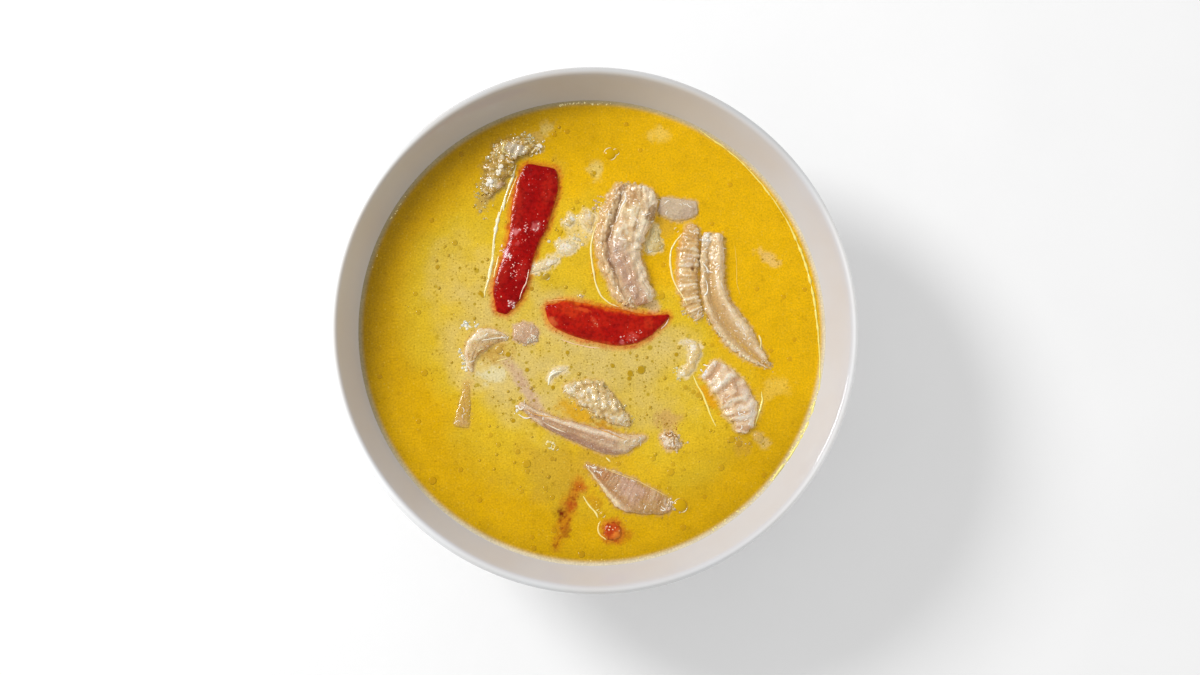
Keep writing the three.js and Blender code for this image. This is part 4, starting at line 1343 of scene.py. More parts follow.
TRIPE_CRUMB = Strip(
    "tripe_crumb", ((22.8, -34.8, 0, 2.8), (25.6, -37.2, 0.2, 5.6), (28.9, -38.8, 0, 3.2)),
    rise=1.1, sink=1.8, blunt=0.7, film=0.1, halo=0.2, wisp=1.2, step=0.2, frill=(1.2, 0.7),
    layers=(Layer(BEADS, (1.4, 1.4), 0.22), Layer(GRAIN, (1.0, 1.0), 0.15)),
    flesh=Flesh(body=(228, 190, 134), patch=(214, 166, 104), hollow=(184, 124, 50), crest=(252, 240, 220),
                shore_width=0.15,
                dabs=(Dab((26.0, -34.9), 1.1, (150, 92, 30), 0.7, 2.4, -5),
                      Dab((24.8, -37.6), 1.7, (248, 230, 208), 0.8),
                      Dab((28.4, -38.4), 1.2, (246, 224, 196), 0.7))),
)

TRIPE_SLIVER = milky(
    "tripe_sliver", ((-20.9, 19.9, 0, 2.2), (-16.6, 22.2, 0.1, 3.4), (-11.8, 24.5, 0, 2.2)),
    rise=0.7, sink=1.2, blunt=0.6, relief=Layer(GRAIN, (1.4, 1.2), 0.12),
)

TRIPE_FLAKE = milky(
    "tripe_flake", ((-13.0, 29.4, 0, 3.4), (-9.2, 28.1, 0.1, 4.8), (-5.2, 29.0, 0, 2.8)),
    rise=0.6, sink=1.3, blunt=0.7, relief=Layer(GRAIN, (1.3, 1.2), 0.14), frill=(1.2, 0.6),
)

TRIPE_NUB = milky(
    "tripe_nub", ((-10.0, 36.2, 0, 2.8), (-6.6, 38.4, 0, 3.2)),
    rise=1.0, sink=1.4, blunt=0.9, relief=Layer(GRAIN, (1.2, 1.2), 0.16), frill=(1.2, 0.4),
)

PEPPERS = (PEPPER_LONG, PEPPER_SHORT, PEPPER_BIT)
TRIPE = (
    TRIPE_FOLDED, TRIPE_LOBE, TRIPE_CHIP, TRIPE_TAG, TRIPE_RIBBED, TRIPE_TROUGH, TRIPE_BLOCK, TRIPE_LUMP,
    TRIPE_CURL, TRIPE_LONG, TRIPE_HONEYCOMB, TRIPE_SHRED, TRIPE_WEDGE, TRIPE_BENT, TRIPE_TAIL, TRIPE_SCRAP,
    TRIPE_FRILLY, TRIPE_CRUMB, TRIPE_SLIVER, TRIPE_FLAKE, TRIPE_NUB,
)


def ring_distance(x: np.ndarray, y: np.ndarray, ring: np.ndarray) -> tuple[np.ndarray, np.ndarray]:
    """Distance from places to a closed outline, and whether they lie inside it.

    Formula: the least distance to any of its straight stretches, and an odd number of crossings by a
    level line to the right.

    Args:
        x, y: the places.
        ring: corners of the outline, one row each.

    Returns:
        The distances, and a mask of the places inside.
    """
    px, py = x[:, None], y[:, None]
    (ax, ay), (bx, by) = ring.T[:, None], np.roll(ring, -1, axis=0).T[:, None]
    dx, dy = bx - ax, by - ay
    t = np.clip(((px - ax) * dx + (py - ay) * dy) / (dx * dx + dy * dy + 1e-9), 0, 1)
    distance = np.hypot(px - ax - t * dx, py - ay - t * dy).min(axis=1)
    spans = (ay > py) != (by > py)
    crossing = ax + (py - ay) * dx / np.where(np.abs(dy) < 1e-9, 1e-9, dy)
    return distance, (spans & (px < crossing)).sum(axis=1) % 2 == 1


def line_distance(x: np.ndarray, y: np.ndarray, line: tuple[Place, ...]) -> np.ndarray:
    """Distance from places to an open line: the least to any of its straight stretches."""
    best = np.full(x.shape, 1e9)
    for (ax, ay), (bx, by) in zip(line, line[1:]):
        dx, dy = bx - ax, by - ay
        t = np.clip(((x - ax) * dx + (y - ay) * dy) / (dx * dx + dy * dy), 0, 1)
        best = np.minimum(best, np.hypot(x - ax - t * dx, y - ay - t * dy))
    return best


@dataclass
class Broth:
    """The soup: level, drawn up at the wall and round every piece, and clouded with cream."""

    bowl: Bowl
    strips: tuple[Strip, ...]
    wall_creep: float = 0.8
    creep_reach: float = 1.5
    film_reach: float = 1.5
    film_span: float = 9.0  # how far from an outline its film is worked out
    shore_span: float = 5.0
    tuck: float = 0.55
    tuck_slope: float = 1.6
    tuck_depth: float = 3.0
    overlap: float = 0.2
    cells: int = 288
    under_rings: int = 6

    gold: Tint = (229, 178, 3)
    veil: Tint = (222, 186, 40)
    cloud: Tint = (218, 191, 112)
    # Painted shadow of the wall on the soup, then the wall's tone, lit and with painted shade, painted on
    # the soup's last millimetres.
    rim_shade: Tint = (150, 112, 8)
    wall_lit: Tint = (226, 216, 190)
    wall_shaded: Tint = (160, 148, 116)
    mauve: Tint = (212, 180, 142)
    mauve_speck: Tint = (190, 146, 112)
    pepper_glow: Tint = (208, 116, 18)
    pepper_deep: Tint = (140, 38, 6)
    pepper_halo: Tint = (222, 120, 34)
    pepper_dot: Tint = (184, 50, 14)
    # Deeper gold beside a piece, partly painted contact shade.
    shore_gold_and_shade: Tint = (206, 152, 28)

    ripples: Wander = Wander(9.0, 0.05, 401, 2)
    cloud_fray: Wander = Wander(6.0, 0.09, 431)
    broad_tone: Wander = Wander(14.0, 0.05, 433)
    fine_tone: Wander = Wander(2.2, 0.04, 434)
    # Sides of painted shade: away from the upper right, in the wall's shadow, and on the wall's shaded side.
    unlit: Side = Side(30, 0.77, 0.45)
    shaded: Side = Side(148, 0.42, 0.92)
    wall_side: Side = Side(140, -0.5, 0.8)
    speckle: Wander = Wander(0.8, 1.0, 441)
    pepper_fray: Wander = Wander(2.2, 1.3, 442)
    mauve_fray: Wander = Wander(1.7, 0.7, 443)
    shore_fray: Wander = Wander(1.6, 0.5, 451)
    shore_dots: Wander = Wander(0.7, 1.0, 452)
    wisp_fray: Wander = Wander(1.3, 1.1, 461)
    fuzz_fray: Wander = Wander(1.1, 0.9, 471)

    # Steps by the distance from the wall.
    ripple_start: Fade = Fade(0, 4)
    cream: Fade = Fade(3.0, 22.0)
    # Painted shade: darker towards the wall except at the upper right, the painted shadow of the wall, and
    # the wall's tone on the soup's edge.
    wide_painted_shade: Fade = Fade(34, 14, 0.15)
    near_painted_shade: Fade = Fade(9, 1, 0.13)
    wall_painted_shadow: Fade = Fade(20, 5, 0.66)
    wall_light: Fade = Fade(2.5, 0.6, 0.9)

    # Steps by the share of cream.
    cream_frayed: Fade = Fade(0.05, 0.4)
    veiled: Fade = Fade(0.0, 0.75)
    clouded: Fade = Fade(0.6, 1.0)

    # Steps by y, where the sunken strips fade out.
    mauve_south: Fade = Fade(-9.0, -17.0, 0.4)
    pepper_south: Fade = Fade(-51.0, -58.0)
    pepper_north: Fade = Fade(-70.0, -63.0)

    # Steps by the distance from a strip or an outline.
    mauve_band: Fade = Fade(3.0, 0.9)
    speck_band: Fade = Fade(2.6, 0.6, 0.6)
    pepper_band: Fade = Fade(4.4, 0.0)
    halo_band: Fade = Fade(2.4, 0.0)
    gold_band: Fade = Fade(1.2, 0.1)
    fuzz_band: Fade = Fade(0.9, 0.0, 0.45)
    wisp_band: Fade = Fade(1.0, 0.0, 0.8)

    # Steps by noise, for specks.
    mauve_specks: Fade = Fade(-0.1, 0.5)
    halo_dots: Fade = Fade(0.0, 0.45)

    CREAM_CLOUDS = (
        Dab((-50, 12), 40, CREAM, 0.52, 0.8), Dab((-42, 34), 26, CREAM, 0.42, 1.6, 60),
        Dab((-22, -6), 34, CREAM, 0.6, 1.3, -10), Dab((-30, -24), 26, CREAM, 0.34),
        Dab((-30, -42), 20, CREAM, 0.3, 1.4), Dab((-2, -12), 34, CREAM, 0.55, 1.3),
        Dab((20, -16), 30, CREAM, 0.5, 1.3, -20), Dab((34, -34), 24, CREAM, 0.4, 1.3, -30),
        Dab((-8, 24), 26, CREAM, 0.5, 1.4, 80), Dab((26, 0), 20, CREAM, 0.5),
        Dab((0, -44), 26, CREAM, 0.35, 1.4),
        Dab((-34.2, -14.9), 8, CREAM, 0.8, 1.4), Dab((30, -58), 16, CREAM, 0.3, 1.4, 30),
    )
    SUNKEN = (
        Dab((0.5, 54.8), 4.9, (232, 200, 106), 0.9, 0.75), Dab((22.4, 67.6), 3.6, (238, 200, 90), 0.7, 1.3),
        Dab((-16.3, 69.0), 3.2, (236, 208, 120), 0.8, 1.3, 20),
        Dab((-37.6, 43.0), 3.4, (196, 160, 84), 0.6, 1.3, 60),
        Dab((-20.0, 65.5), 3.0, (222, 190, 118), 0.6, 1.6, -10),
        Dab((59.5, 25.5), 2.8, (234, 192, 106), 0.85, 2.2, -35),
        Dab((54.8, -26.7), 4.0, (234, 196, 100), 0.5), Dab((-12.3, 55.8), 5.0, (214, 172, 60), 0.3),
        Dab((60.5, -19.0), 5.5, (238, 200, 90), 0.45, 1.4, 30),
        Dab((-5.0, 33.5), 6.0, (236, 208, 140), 0.7, 1.2, 50),
        Dab((-1.0, 38.0), 3.0, (238, 214, 160), 0.6), Dab((23.5, 35.0), 5.0, (206, 160, 52), 0.6),
        Dab((-34.2, -14.9), 4.2, (226, 214, 170), 0.8, 1.4),
        # Under the bent strip's arch: partly painted shade of the hollow, partly oil in it.
        Dab((-33.0, -7.5), 4.6, (196, 150, 62), 0.75, 1.5),
        Dab((25.1, -30.5), 5.0, (202, 158, 90), 0.75, 1.1, 30),
        Dab((-6.0, -27.5), 4.2, (222, 166, 14), 0.85, 2.2, -28),
        Dab((4.5, -33.0), 2.2, (206, 142, 16), 0.8, 3.6, -30),
        Dab((38.5, -21.5), 2.6, (226, 158, 14), 0.85, 3.2, -58),
        Dab((57.8, -37.5), 3.0, (232, 200, 130), 0.6),
        Dab((50.0, -39.0), 4.0, (214, 164, 60), 0.5, 1.3, -20),
        Dab((19.6, 8.6), 3.2, (214, 182, 138), 0.8, 1.2, -50),
        Dab((0.0, -57.0), 3.0, (206, 140, 20), 0.6, 2.5, -55),
        Dab((20.0, 17.5), 3.0, (222, 170, 14), 0.6, 2.6, 80),
        Dab((25.0, 22.0), 4.0, (230, 178, 12), 0.6, 2.6, 80),
        Dab((-16.6, 18.2), 2.0, (160, 124, 50), 0.6, 1.2), Dab((9.4, -69.0), 3.4, (206, 112, 18), 0.6, 1.3),
        Dab((-8.0, -47.0), 14.0, (200, 158, 48), 0.6, 1.8),
        Dab((-42.5, -20.0), 3.0, (216, 172, 96), 0.5, 2.0, 85),
        Dab((0.5, 24.0), 2.2, (222, 160, 34), 0.6, 4.6, 86),
        Dab((29.0, 22.0), 1.8, (226, 158, 20), 0.6, 6.0, 88),
    )
    MAUVE_END = ((-29.1, -10.5), (-25.4, -15.3), (-21.4, -22.0), (-18.7, -26.0))
    PEPPER_END = ((-5.5, -51.0), (-8.6, -60.4), (-12.3, -72.2))
    PEPPER_SPOTS = (
        Dab((-4.4, -52.8), 2.6, (196, 92, 20), 0.7), Dab((-10.8, -61.5), 2.4, (120, 26, 6), 0.95),
        Dab((-7.6, -58.4), 2.6, (186, 66, 12), 0.75), Dab((-9.0, -67.6), 2.4, (170, 84, 18), 0.7, 1.4, 60),
    )

    def __post_init__(self) -> None:
        """Finds the soup's edge on the wall and the outline of each piece."""
        self.edge_share = self.bowl.share_at_height(LEVEL + self.wall_creep, self.overlap)
        self.edge = self.bowl.wall(np.array([self.edge_share]), self.overlap)[0]
        self.outlines = [(strip, ring) for strip in self.strips if len(ring := strip.outline())]

    def near(self, x: np.ndarray, y: np.ndarray, ring: np.ndarray, reach: float) -> np.ndarray:
        """Which places lie within a reach of an outline's box."""
        low, high = ring.min(axis=0) - reach, ring.max(axis=0) + reach
        return np.flatnonzero((x > low[0]) & (x < high[0]) & (y > low[1]) & (y < high[1]))

    def height(self, x: np.ndarray, y: np.ndarray) -> np.ndarray:
        """Height of the soup.

        Formula: at the wall and round each piece it is drawn up by a film that dies away with the
        distance as exp(-d / reach), the films add as the fourth root of fourth powers, and under a
        piece the soup falls away steeply.

        Args:
            x, y: places from above.

        Returns:
            The height at each place.
        """
        from_wall = np.maximum(self.edge[0] - np.hypot(x, y), 0)
        films = (self.wall_creep * np.exp(-from_wall / self.creep_reach)) ** 4
        drop = np.zeros(x.shape)
        for strip, ring in self.outlines:
            close = self.near(x, y, ring, self.film_span)
            distance, inside = ring_distance(x[close], y[close], ring)
            film = strip.film * np.exp(-np.where(inside, 0, distance) / self.film_reach)
            films[close] += film**4
            fall = np.clip((distance - self.tuck) * self.tuck_slope, 0, self.tuck_depth)
            drop[close] += np.where(inside, fall, 0)
        ripple = self.ripples.at(level_places(x, y)) * self.ripple_start.at(from_wall)
        return LEVEL + films**0.25 - drop + ripple

    def colours(self, x: np.ndarray, y: np.ndarray) -> np.ndarray:
        """Paints the top: gold, its cream clouds, what lies sunken, and painted shade and light at the wall.
        """
        places = level_places(x, y)
        angle = np.arctan2(y, x)
        from_wall = self.edge[0] - np.hypot(x, y)
        clear = np.ones(x.shape)
        for number, dab in enumerate(self.CREAM_CLOUDS):
            clear *= 1 - dab.mask(x, y, 0.22, 500 + number)
        cream = (1 - clear) * self.cream.at(from_wall)
        cream = np.clip(cream + self.cloud_fray.at(places) * self.cream_frayed.at(cream), 0, 1)
        paint = np.broadcast_to(linear(self.gold), (*x.shape, 3))
        paint = blend(paint, linear(self.veil), self.veiled.at(cream))
        paint = blend(paint, linear(self.cloud), self.clouded.at(cream))
        paint = paint * (1 + self.broad_tone.at(places) + self.fine_tone.at(places))[..., None]
        for number, dab in enumerate(self.SUNKEN):
            paint = blend(paint, linear(dab.tint), dab.mask(x, y, 0.5, 600 + number, 0.3))
        paint = self.sunken_ends(x, y, places, paint)
        for strip, ring in self.outlines:
            paint = self.shores(x, y, strip, ring, paint)
        # Painted shade: darker towards the wall except at the upper right, the painted shadow of the wall at
        # the upper left, then the wall's tone, lit on one side and shaded on the other, on the soup's last
        # millimetres.
        dim = self.wide_painted_shade.at(from_wall) + self.near_painted_shade.at(from_wall)
        paint = paint * (1 - self.unlit.share(angle) * dim)[..., None]
        shade = self.wall_painted_shadow.at(from_wall) * self.shaded.share(angle)
        paint = blend(paint, linear(self.rim_shade), shade)
        wall = blend(linear(self.wall_lit), linear(self.wall_shaded), self.wall_side.share(angle))
        return blend(paint, wall, self.wall_light.at(from_wall))

    def sunken_ends(self, x: np.ndarray, y: np.ndarray, places: np.ndarray, paint: np.ndarray) -> np.ndarray:
        """Paints the sunken start of the long strip of tripe, and a sunken strip of pepper."""
        speckle = self.speckle.at(places)
        far = line_distance(x, y, self.MAUVE_END) + self.mauve_fray.at(places)
        paint = blend(paint, linear(self.mauve), self.mauve_band.at(far) * (0.55 + self.mauve_south.at(y)))
        specks = self.speck_band.at(far) * self.mauve_specks.at(speckle)
        paint = blend(paint, linear(self.mauve_speck), specks)
        middle = self.pepper_south.at(y) * self.pepper_north.at(y)
        far = line_distance(x, y, self.PEPPER_END) + self.pepper_fray.at(places) + 0.8 * (1 - middle)
        streak = self.pepper_band.at(far)
        paint = blend(paint, linear(self.pepper_glow), streak * 0.7)
        specks = streak * smooth(0.2 - 0.3 * middle, 0.6, speckle) * 0.85
        paint = blend(paint, linear(self.pepper_deep), specks)
        for number, dab in enumerate(self.PEPPER_SPOTS):
            paint = blend(paint, linear(dab.tint), dab.mask(x, y, 0.55, 700 + number, 0.1))
        return paint

    def shores(self, x: np.ndarray, y: np.ndarray, strip: Strip, ring: np.ndarray,
               paint: np.ndarray) -> np.ndarray:
        """Paints the soup next to a piece: golden and deeper, partly as painted contact shade, or for a
        pepper an orange speckled halo.
        """
        close = self.near(x, y, ring, self.shore_span)
        distance, inside = ring_distance(x[close], y[close], ring)
        distance = np.where(inside, 0, distance)
        places = level_places(x[close], y[close])
        rough = distance + self.shore_fray.at(places, strip.seed)
        if strip.slot == "pepper":
            mask = self.halo_band.at(rough)
            dots = self.halo_dots.at(self.shore_dots.at(places))
            toned = blend(paint[close], linear(self.pepper_halo), mask * 0.7)
            toned = blend(toned, linear(self.pepper_dot), mask * dots * 0.75)
        else:
            # Deeper gold beside a piece, partly painted contact shade, then the piece's own colour fuzzed
            # into the soup.
            toned = blend(paint[close], linear(self.shore_gold_and_shade), self.gold_band.at(rough) * strip.halo)
            fuzz = self.fuzz_band.at(distance + self.fuzz_fray.at(places, strip.seed))
            toned = blend(toned, linear(strip.flesh.body), fuzz)
        if strip.wisp:
            ragged = distance / strip.wisp + self.wisp_fray.at(places, strip.seed)
            toned = blend(toned, linear(strip.flesh.body), self.wisp_band.at(ragged))
        paint = paint.copy()
        paint[close] = toned
        return paint

    def build(self) -> bpy.types.Object:
        """The closed mesh: a square grid bent onto the disc, and rings down the wall to the floor.

        Formula: a point (a, b) of the square goes to the radius of its larger coordinate, at an angle
        of an eighth of a turn times the ratio of the smaller to the larger.
        """
        a, b = np.meshgrid(np.linspace(-1, 1, self.cells + 1), np.linspace(-1, 1, self.cells + 1))
        wide = np.abs(a) >= np.abs(b)
        radius = np.where(wide, a, b)
        safe = np.where(np.abs(radius) < 1e-12, 1.0, radius)
        angle = np.where(wide, np.pi / 4 * b / safe, np.pi / 2 - np.pi / 4 * a / safe)
        x, y = (self.edge[0] * radius * turn(angle) for turn in (np.cos, np.sin))
        x, y = x.ravel(), y.ravel()
        top = np.column_stack([x, y, self.height(x, y)])
        side = self.cells + 1
        number = np.arange(side * side).reshape(side, side)
        rim = np.concatenate([number[0, :-1], number[:-1, -1], number[-1, :0:-1], number[:0:-1, 0]])
        top[rim, 2] = self.edge[1]
        shares = np.linspace(self.edge_share, 0, self.under_rings + 2)[1:-1]
        wall = self.bowl.wall(shares, self.overlap)
        ring = top[rim, :2] / self.edge[0]
        flat = (wall[:, None, 0, None] * ring).reshape(-1, 2)
        under = np.column_stack([flat, np.repeat(wall[:, 1], len(rim))])
        count = len(top)
        chain = np.vstack([rim, count + np.arange(len(under)).reshape(-1, len(rim))])
        beside = np.roll(chain, -1, axis=1)
        skirt = np.stack([chain[:-1], chain[1:], beside[1:], beside[:-1]], axis=-1).reshape(-1, 4)
        tip = [[0, 0, self.bowl.floor_height - self.overlap]]
        points = np.vstack([top, under, tip])
        faces = [fan_faces(chain[-1][::-1], len(points) - 1), np.vstack([sheet_faces(side, side), skirt])]
        paint = np.vstack([self.colours(x, y), np.broadcast_to(linear(self.gold), (len(under) + 1, 3))])
        surface = Surface(points, faces, paint).outward()
        return surface.piece("broth", BrothFinish().material(), "broth", "soup")


@dataclass
class Top:
    """Finds how high the soup or a floating piece stands at a place, for what lies on them."""

    broth: Broth
    snap: float = 0.45

    def __post_init__(self) -> None:
        """Keeps each piece's points that stand over the soup."""
        raised = [strip.grid[strip.grid[..., 2] > LEVEL] for strip in self.broth.strips]
        self.raised = [shown for shown in raised if len(shown)]

    def height(self, x: np.ndarray, y: np.ndarray) -> np.ndarray:
        """The soup's height, or the nearest point of a piece that stands over it."""
        best = self.broth.height(x, y)
        for shown in self.raised:
            close = self.broth.near(x, y, shown[:, :2], self.snap)
            for start in range(0, len(close), 200):
                some = close[start:start + 200]
                gap = np.hypot(shown[None, :, 0] - x[some, None], shown[None, :, 1] - y[some, None])
                found = gap.argmin(axis=1)
                reached = gap[np.arange(len(some)), found] < self.snap
                best[some] = np.where(reached, np.maximum(best[some], shown[found, 2]), best[some])
        return best


def dome_surface(centres: np.ndarray, radii: np.ndarray, flat: float, tints: np.ndarray, sides: int = 8,
                 steps: int = 2) -> Surface:
    """Many small domes as one mesh, each closed underneath.

    Formula: ring k of a dome lies at the angle k of a quarter turn, with the radius times its cosine,
    and flat times the radius times its sine up.

    Args:
        centres: where each dome stands.
        radii: their radii.
        flat: height of a dome as a share of its radius.
        tints: linear colour of each.
        sides: points round a dome.
        steps: rings up a dome.

    Returns:
        The joined surface.
    """
    lift = np.linspace(-0.35, 1, steps + 2)[:-1] * np.pi / 2
    angle = np.arange(sides) * 2 * np.pi / sides
    reach, rise = np.cos(lift)[:, None], np.broadcast_to(flat * np.sin(lift)[:, None], (len(lift), sides))
    unit = np.stack([reach * np.cos(angle), reach * np.sin(angle), rise], axis=-1).reshape(-1, 3)
    unit = np.vstack([unit, [0, 0, flat], [0, 0, flat * math.sin(lift[0])]])
    count, size = len(centres), len(unit)
    points = centres[:, None] + radii[:, None, None] * unit
    rows = len(lift)
    quads = ring_faces(rows, sides)
    last, first = np.arange(sides) + (rows - 1) * sides, np.arange(sides)
    tris = np.vstack([fan_faces(last, size - 2), fan_faces(first[::-1], size - 1)])
    shift = (np.arange(count) * size)[:, None, None]
    return Surface(points.reshape(-1, 3), [(tris + shift).reshape(-1, 3), (quads + shift).reshape(-1, 4)],
                   np.repeat(tints, size, axis=0))


def roughened(grains: Surface, reach: float) -> Surface:
    """The same grains with every point moved by noise, and sunk a little."""
    shift = np.stack([noise(grains.points / 0.45, seed) for seed in (61, 62, 63)], axis=-1)
    grains.points = grains.points + reach * shift - [0, 0, 0.06]
    return grains


@dataclass(frozen=True)
class Cluster:
    """A patch or line of small domes, such as froth.

    Attributes:
        path: the places that it follows; one place makes a round patch.
        spread: how far the domes stray from it.
        count: how many there are.
        radii: the smallest and largest radius.
        tint: their colour.
    """

    path: tuple[Place, ...]
    spread: float
    count: int
    radii: Range
    tint: Tint


@dataclass
class Froth:
    """Bubbles, foam and specks of fat: small domes in clusters, on the soup and on the food."""

    top: Top
    seed: int = 71

    CLUSTERS = (
        Cluster(((-17.5, 63.5), (-20.5, 61.0), (-23.0, 63.5)), 2.0, 30, (0.2, 0.5), (238, 218, 166)),
        Cluster(((-25.0, 64.5), (-30.5, 63.0), (-35.0, 59.0)), 1.2, 22, (0.18, 0.45), (230, 206, 150)),
        Cluster(((-31.5, 55.0), (-34.0, 50.5), (-37.0, 46.0)), 2.8, 26, (0.18, 0.4), (228, 200, 140)),
        Cluster(((-35.2, 51.1), (-35.4, 48.3)), 0.7, 8, (0.6, 1.1), (250, 244, 228)),
        Cluster(((-31.4, 55.8), (-32.7, 52.3)), 0.7, 8, (0.5, 1.0), (248, 238, 214)),
        Cluster(((-18.2, 63.4), (-20.0, 60.5)), 0.7, 6, (0.5, 0.9), (248, 238, 214)),
        Cluster(((-36.0, 47.5), (-37.1, 42.7)), 2.0, 16, (0.15, 0.34), (122, 84, 26)),
        Cluster(((-41.4, -1.3), (-42.7, -3.7), (-43.3, -5.7)), 0.5, 7, (0.15, 0.34), (122, 80, 30)),
        Cluster(((7.5, 33.0), (7.2, 27.0), (8.6, 21.0)), 2.6, 64, (0.1, 0.26), (250, 244, 234)),
        Cluster(((9.4, 29.0), (10.6, 21.5), (14.0, 13.0)), 1.2, 30, (0.1, 0.28), (250, 242, 230)),
        Cluster(((-36.0, 42.5), (-38.5, 37.0)), 2.2, 16, (0.15, 0.4), (222, 200, 130)),
        Cluster(((-14.6, -39.2),), 1.8, 16, (0.25, 0.6), (240, 226, 170)),
        Cluster(((-41.9, 1.2),), 1.2, 10, (0.3, 0.7), (246, 240, 214)),
        Cluster(((-44.3, -8.5), (-42.9, -14.0)), 0.9, 12, (0.25, 0.6), (244, 238, 212)),
        Cluster(((-13.0, 77.0), (-4.0, 77.9), (7.0, 77.7)), 0.35, 44, (0.16, 0.36), (252, 236, 170)),
        Cluster(((-68.5, 37.0), (-63.0, 46.0)), 0.3, 16, (0.16, 0.32), (250, 232, 160)),
        Cluster(((-74.5, 20.0), (-71.5, 30.0)), 0.3, 10, (0.14, 0.28), (250, 232, 160)),
        Cluster(((76.0, -20.0), (72.5, -30.5), (64.0, -45.5)), 0.5, 60, (0.2, 0.5), (255, 240, 160)),
        Cluster(((64.0, -45.5), (52.0, -58.5), (38.0, -68.0)), 0.4, 46, (0.18, 0.4), (255, 238, 150)),
        Cluster(((38.0, -68.0), (15.0, -76.5), (-10.0, -77.3)), 0.3, 40, (0.14, 0.26), (246, 220, 120)),
        Cluster(((52.0, 57.0), (63.0, 44.0)), 0.5, 12, (0.16, 0.3), (255, 236, 130)),
        Cluster(((39.5, 3.0), (43.0, -1.0), (47.5, -5.5), (52.0, -9.0)), 0.5, 26, (0.16, 0.42),
                (255, 244, 200)),
        Cluster(((37.9, 31.2),), 1.8, 14, (0.3, 0.6), (250, 244, 230)),
        Cluster(((3.0, 44.5), (1.5, 40.5)), 1.3, 12, (0.25, 0.5), (244, 226, 190)),
        Cluster(((48.5, -26.5), (52.0, -31.0)), 1.4, 9, (0.2, 0.42), (250, 244, 236)),
        Cluster(((36.6, -14.0),), 1.3, 9, (0.25, 0.5), (240, 244, 250)),
        Cluster(((-8.0, -21.5), (2.0, -24.0), (9.0, -30.0)), 3.0, 22, (0.16, 0.34), (252, 244, 222)),
        Cluster(((25.5, -37.5),), 2.4, 12, (0.2, 0.45), (250, 232, 200)),
        Cluster(((23.0, -31.5), (29.5, -33.0)), 2.6, 46, (0.12, 0.28), (178, 112, 36)),
        Cluster(((-22.0, -3.6), (-18.8, -2.0)), 0.9, 12, (0.2, 0.45), (246, 238, 216)),
        Cluster(((25.0, -56.6), (28.0, -58.0)), 0.9, 9, (0.25, 0.5), (244, 232, 214)),
        Cluster(((-8.6, -21.0), (-3.0, -17.5)), 1.2, 8, (0.2, 0.4), (240, 226, 180)),
        Cluster(((0.5, -56.5), (1.6, -62.0)), 0.5, 8, (0.2, 0.4), (248, 226, 130)),
        Cluster(((-25.5, -25.2), (-26.3, -28.0)), 0.5, 8, (0.25, 0.5), (252, 246, 230)),
        Cluster(((19.2, 37.6),), 0.8, 5, (0.2, 0.4), (255, 248, 220)),
        Cluster(((-5.0, 38.5), (-9.0, 37.0)), 1.4, 7, (0.25, 0.5), (255, 246, 214)),
    )
    PEPPER_SPECKS = (
        Cluster(((-18.5, 51.0), (-21.5, 38.0), (-23.5, 29.0)), 5.5, 50, (0.1, 0.22), (220, 96, 80)),
        Cluster(((-21.5, 38.0), (-24.5, 27.0), (-29.0, 9.0)), 4.0, 100, (0.12, 0.3), (234, 134, 118)),
        Cluster(((-18.2, 36.5), (-18.9, 33.0)), 1.3, 26, (0.16, 0.42), (248, 206, 196)),
        Cluster(((-21.5, 34.5), (-25.5, 33.5)), 1.5, 20, (0.16, 0.4), (238, 178, 176)),
        Cluster(((-31.5, 28.0), (-29.5, 26.0), (-28.0, 24.5)), 1.1, 34, (0.18, 0.46), (250, 220, 214)),
        Cluster(((-25.2, 23.0), (-27.5, 17.0)), 2.2, 44, (0.14, 0.34), (242, 176, 164)),
        Cluster(((-28.2, 9.5), (-27.0, 7.6)), 1.2, 22, (0.16, 0.42), (246, 206, 196)),
        Cluster(((-32.5, 16.0), (-31.5, 10.5)), 0.7, 14, (0.12, 0.3), (240, 190, 150)),
        Cluster(((-12.0, 5.0), (2.0, 1.5), (18.0, 2.0)), 4.6, 80, (0.1, 0.2), (232, 110, 84)),
        Cluster(((9.0, -3.4), (13.0, -2.6), (16.0, -0.6)), 1.4, 30, (0.14, 0.36), (242, 176, 166)),
        Cluster(((-1.5, 5.2), (1.8, 0.6)), 0.5, 12, (0.12, 0.26), (242, 160, 130)),
        Cluster(((4.2, -66.0), (9.0, -67.5)), 0.8, 5, (0.25, 0.4), (255, 220, 170)),
    )

    def scatter(self, clusters: tuple[Cluster, ...], rng: np.random.Generator, flatness: float) -> Surface:
        """Domes drawn along each cluster's path, small ones more often than large ones."""
        places, radii, tints = [], [], []
        for cluster in clusters:
            path = np.array(cluster.path, float)
            share = rng.random(cluster.count) * (len(path) - 1)
            index = np.minimum(share.astype(int), max(len(path) - 2, 0))
            following = path[np.minimum(index + 1, len(path) - 1)]
            spot = path[index] + (following - path[index]) * (share - index)[:, None]
            reach = cluster.spread * np.sqrt(rng.random(cluster.count))
            turn = rng.random(cluster.count) * 2 * np.pi
            places.append(spot + np.stack([reach * np.cos(turn), reach * np.sin(turn)], axis=1))
            low, high = cluster.radii
            radii.append(low + (high - low) * rng.random(cluster.count) ** 2)
            tints.append(linear(cluster.tint) * (0.88 + 0.12 * rng.random((cluster.count, 1))))
        flat, size = np.vstack(places), np.concatenate(radii)
        height = self.top.height(flat[:, 0], flat[:, 1])
        return dome_surface(np.column_stack([flat, height]), size, flatness, np.vstack(tints))

